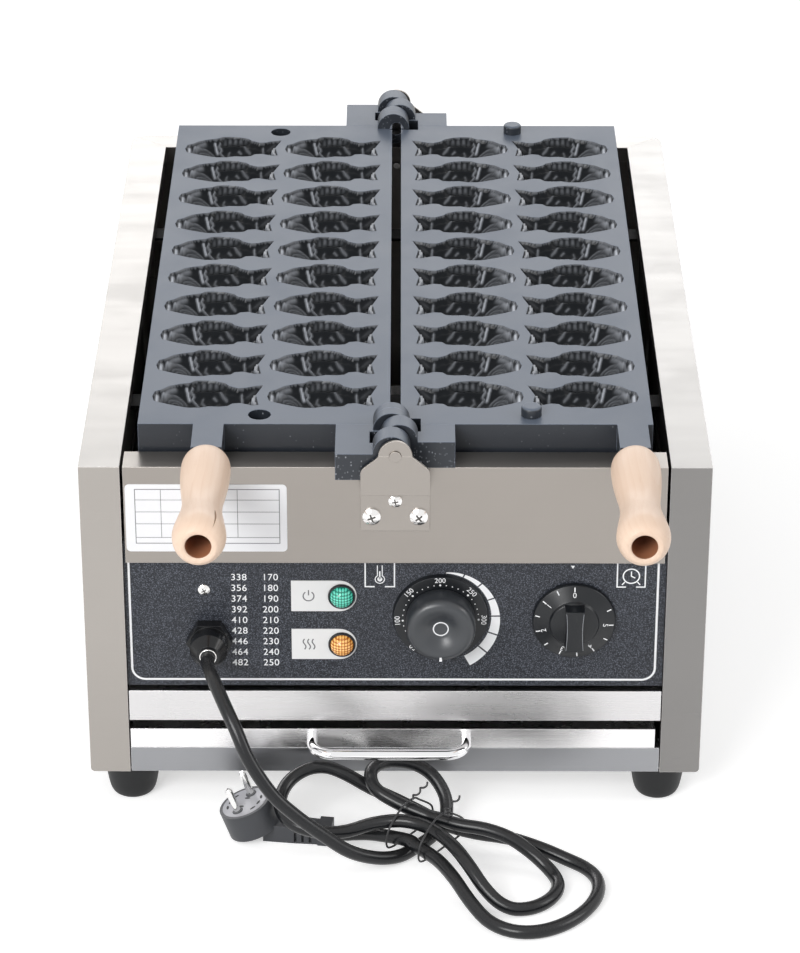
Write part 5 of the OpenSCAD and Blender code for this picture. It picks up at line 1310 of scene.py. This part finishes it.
bar_points = []
n = 2 * (BAR_STEPS + 1)
for layer in range(BAR_LAYERS + 1):
    h = BAR_FOOT + (BAR_H - BAR_FOOT) * layer / BAR_LAYERS
    outline = bar_side(layer) + [(-x, y) for x, y in bar_side(layer)[::-1]]
    bar_points += [timer_place @ (Vector((x, y, h)) * MM) for x, y in outline]
bar_faces = bands(BAR_LAYERS + 1, n)
for low in (BAR_LAYERS * n, 0):
    bar_faces += [(low + k, low + k + 1, low + n - 2 - k, low + n - 1 - k) for k in range(BAR_STEPS)]
bar = shape_piece("timer_bar", (bar_points, bar_faces), knob_plastic, "timer_control",
                  smooth=True)
rounding = bar.modifiers.new("bevel", "BEVEL")
rounding.width = BAR_EDGE * MM
rounding.segments = 2
rounding.limit_method = "ANGLE"
rounding.angle_limit = math.radians(BAR_CORNER)
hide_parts("timer_knob")
# Thin pale lines along the bar's upper edges are a painted highlight.
highlight_lines = []
for side in (-1, 1):
    highlight_lines += ribbon([(side * (x - HIGHLIGHT_IN), y) for x, y in bar_side(BAR_LAYERS)[1:-1]], HIGHLIGHT_LINE)
ink("timer_bar_wear", highlight_lines, timer_place, painted_highlight_plastic, "timer_control", low=BAR_H)
print("bar has", len(bar_faces), "faces")

# %% Timer numbers
# The skirt is a shallow cone, so its print leans with it.
TICK_STEP, TICKS = 26.5, 12
TICK_IN, TICK_OUT, TICK_HALF = 23.3, 26.4, 0.4
HOUR_R, HOUR_SIZE, HOURS = 20.9, 5.2, 6
BOX_FACES = [(0, 2, 3, 1), (4, 5, 7, 6), (0, 1, 5, 4), (1, 3, 7, 5), (3, 2, 6, 7), (2, 0, 4, 6)]
SKIRT_SLOPE = (SKIRT_T + 0.6 - SKIRT_RIM) / (SKIRT_R - 0.9 - HUB_R - 0.6)


def skirt_height(r):
    """The height of the skirt's face at a radius."""
    return SKIRT_RIM + (SKIRT_R - 0.9 - r) * SKIRT_SLOPE


ticks = []
for k in range(TICKS):
    turn = timer_place @ Matrix.Rotation(math.radians(k * TICK_STEP), 4, "Z")
    ticks.append(([turn @ (Vector((x, r, skirt_height(r) + h)) * MM) for h in (-0.05, INK_H)
                   for r in (TICK_IN, TICK_OUT) for x in (-TICK_HALF, TICK_HALF)], BOX_FACES))
shape_piece("timer_ticks", together(ticks), white_ink, "timer_control")
for hour in range(HOURS):
    angle = 90 + 2 * hour * TICK_STEP
    x, z = way(angle, HOUR_R, *TIMER_AT)
    numeral = numbers(f"timer_{hour}", str(hour), x, TIMER_FACE_Y - skirt_height(HOUR_R), z, HOUR_SIZE,
                      "timer_control", turn=angle - 90)
    numeral.matrix_world = numeral.matrix_world @ Matrix.Rotation(-math.atan(SKIRT_SLOPE), 4, "X")
print("timer has numbers 0 to", HOURS - 1)

# %% [markdown]
# ## Lamps and their rims, and the gland's ring
# Each pilot lamp is a coloured lens in a thin dark bezel. The domed lens is a solid already, so only the
# bezel is turned here. The gland gets a thin bright ring where the cord goes in.

# %% Bezels and the gland's ring
LAMP_X, LENS_R, TAG_T = -35.6, 7.75, 0.6
UPPER_LAMP_Z, LOWER_LAMP_Z = 135.6, 98.6
BEZEL = [(LENS_R + 0.05, 0.0), (LENS_R + 0.05, 1.7), (LENS_R + 0.4, 2.1), (LENS_R + 1.0, 2.0),
         (LENS_R + 1.35, 1.4), (LENS_R + 1.4, 0.0)]
bezels = [lathe(BEZEL, facing_front(LAMP_X, PANEL_Y - TAG_T, z), 64) for z in (UPPER_LAMP_Z, LOWER_LAMP_Z)]
shape_piece("lamp_bezels", together(bezels), knob_plastic, "housing", smooth=True, sharp=50)
RING = [(4.75, -0.3), (4.75, 0.7), (5.1, 1.0), (5.6, 0.9), (5.8, 0.5), (5.8, -0.3)]
gland_ring = lathe(RING, facing_front(*GLAND), 48)
shape_piece("gland_ring", gland_ring, screw_steel, "housing", smooth=True)
print("two bezels and a ring")

# %% [markdown]
# ## The table on the rating label
# The label carries an empty printed table: a frame with thinner lines between its rows and columns.

# %% Label table
LABEL_Y = -280.3
LEFT, RIGHT, UPPER, LOWER = -170.5, -75.9, 217.7, 177.6
ROW_LINES = (209.9, 201.0, 192.1, 181.9)
COLUMN_LINES = (-153.6, -118.0, -103.4)
lines = [[(LEFT, z), (RIGHT, z)] for z in ROW_LINES]
lines += [[(x, UPPER), (x, ROW_LINES[-1])] for x in COLUMN_LINES]
table = ribbon([(LEFT, LOWER), (RIGHT, LOWER), (RIGHT, UPPER), (LEFT, UPPER)], 0.5, closed=True)
for line in lines:
    table += ribbon(line, 0.35)
ink("label_table", table, facing_front(0, LABEL_Y, 0), grey_ink, "housing")
print("label table has", len(lines), "lines")

# %% Marks on the lamp tags
# A generic switch mark stands on the upper tag, and three heat waves on the lower one.
MARK_X, MARK_LINE = LAMP_X - 22.0, 0.8
marks = ribbon(circle(MARK_X, UPPER_LAMP_Z, 3.6, 24, 125, 415), MARK_LINE)
marks += ribbon([(MARK_X, UPPER_LAMP_Z + 0.6), (MARK_X, UPPER_LAMP_Z + 4.6)], MARK_LINE)
for side in (-1, 0, 1):
    wave = [(MARK_X + 3.0 * side + 0.9 * math.sin(t * 2 * math.pi), LOWER_LAMP_Z - 4 + 8 * t)
            for t in np.linspace(0, 1, 14)]
    marks += ribbon(wave, MARK_LINE)
ink("tag_marks", marks, facing_front(0, PANEL_Y - TAG_T, 0), grey_ink, "housing")
print("two marks")
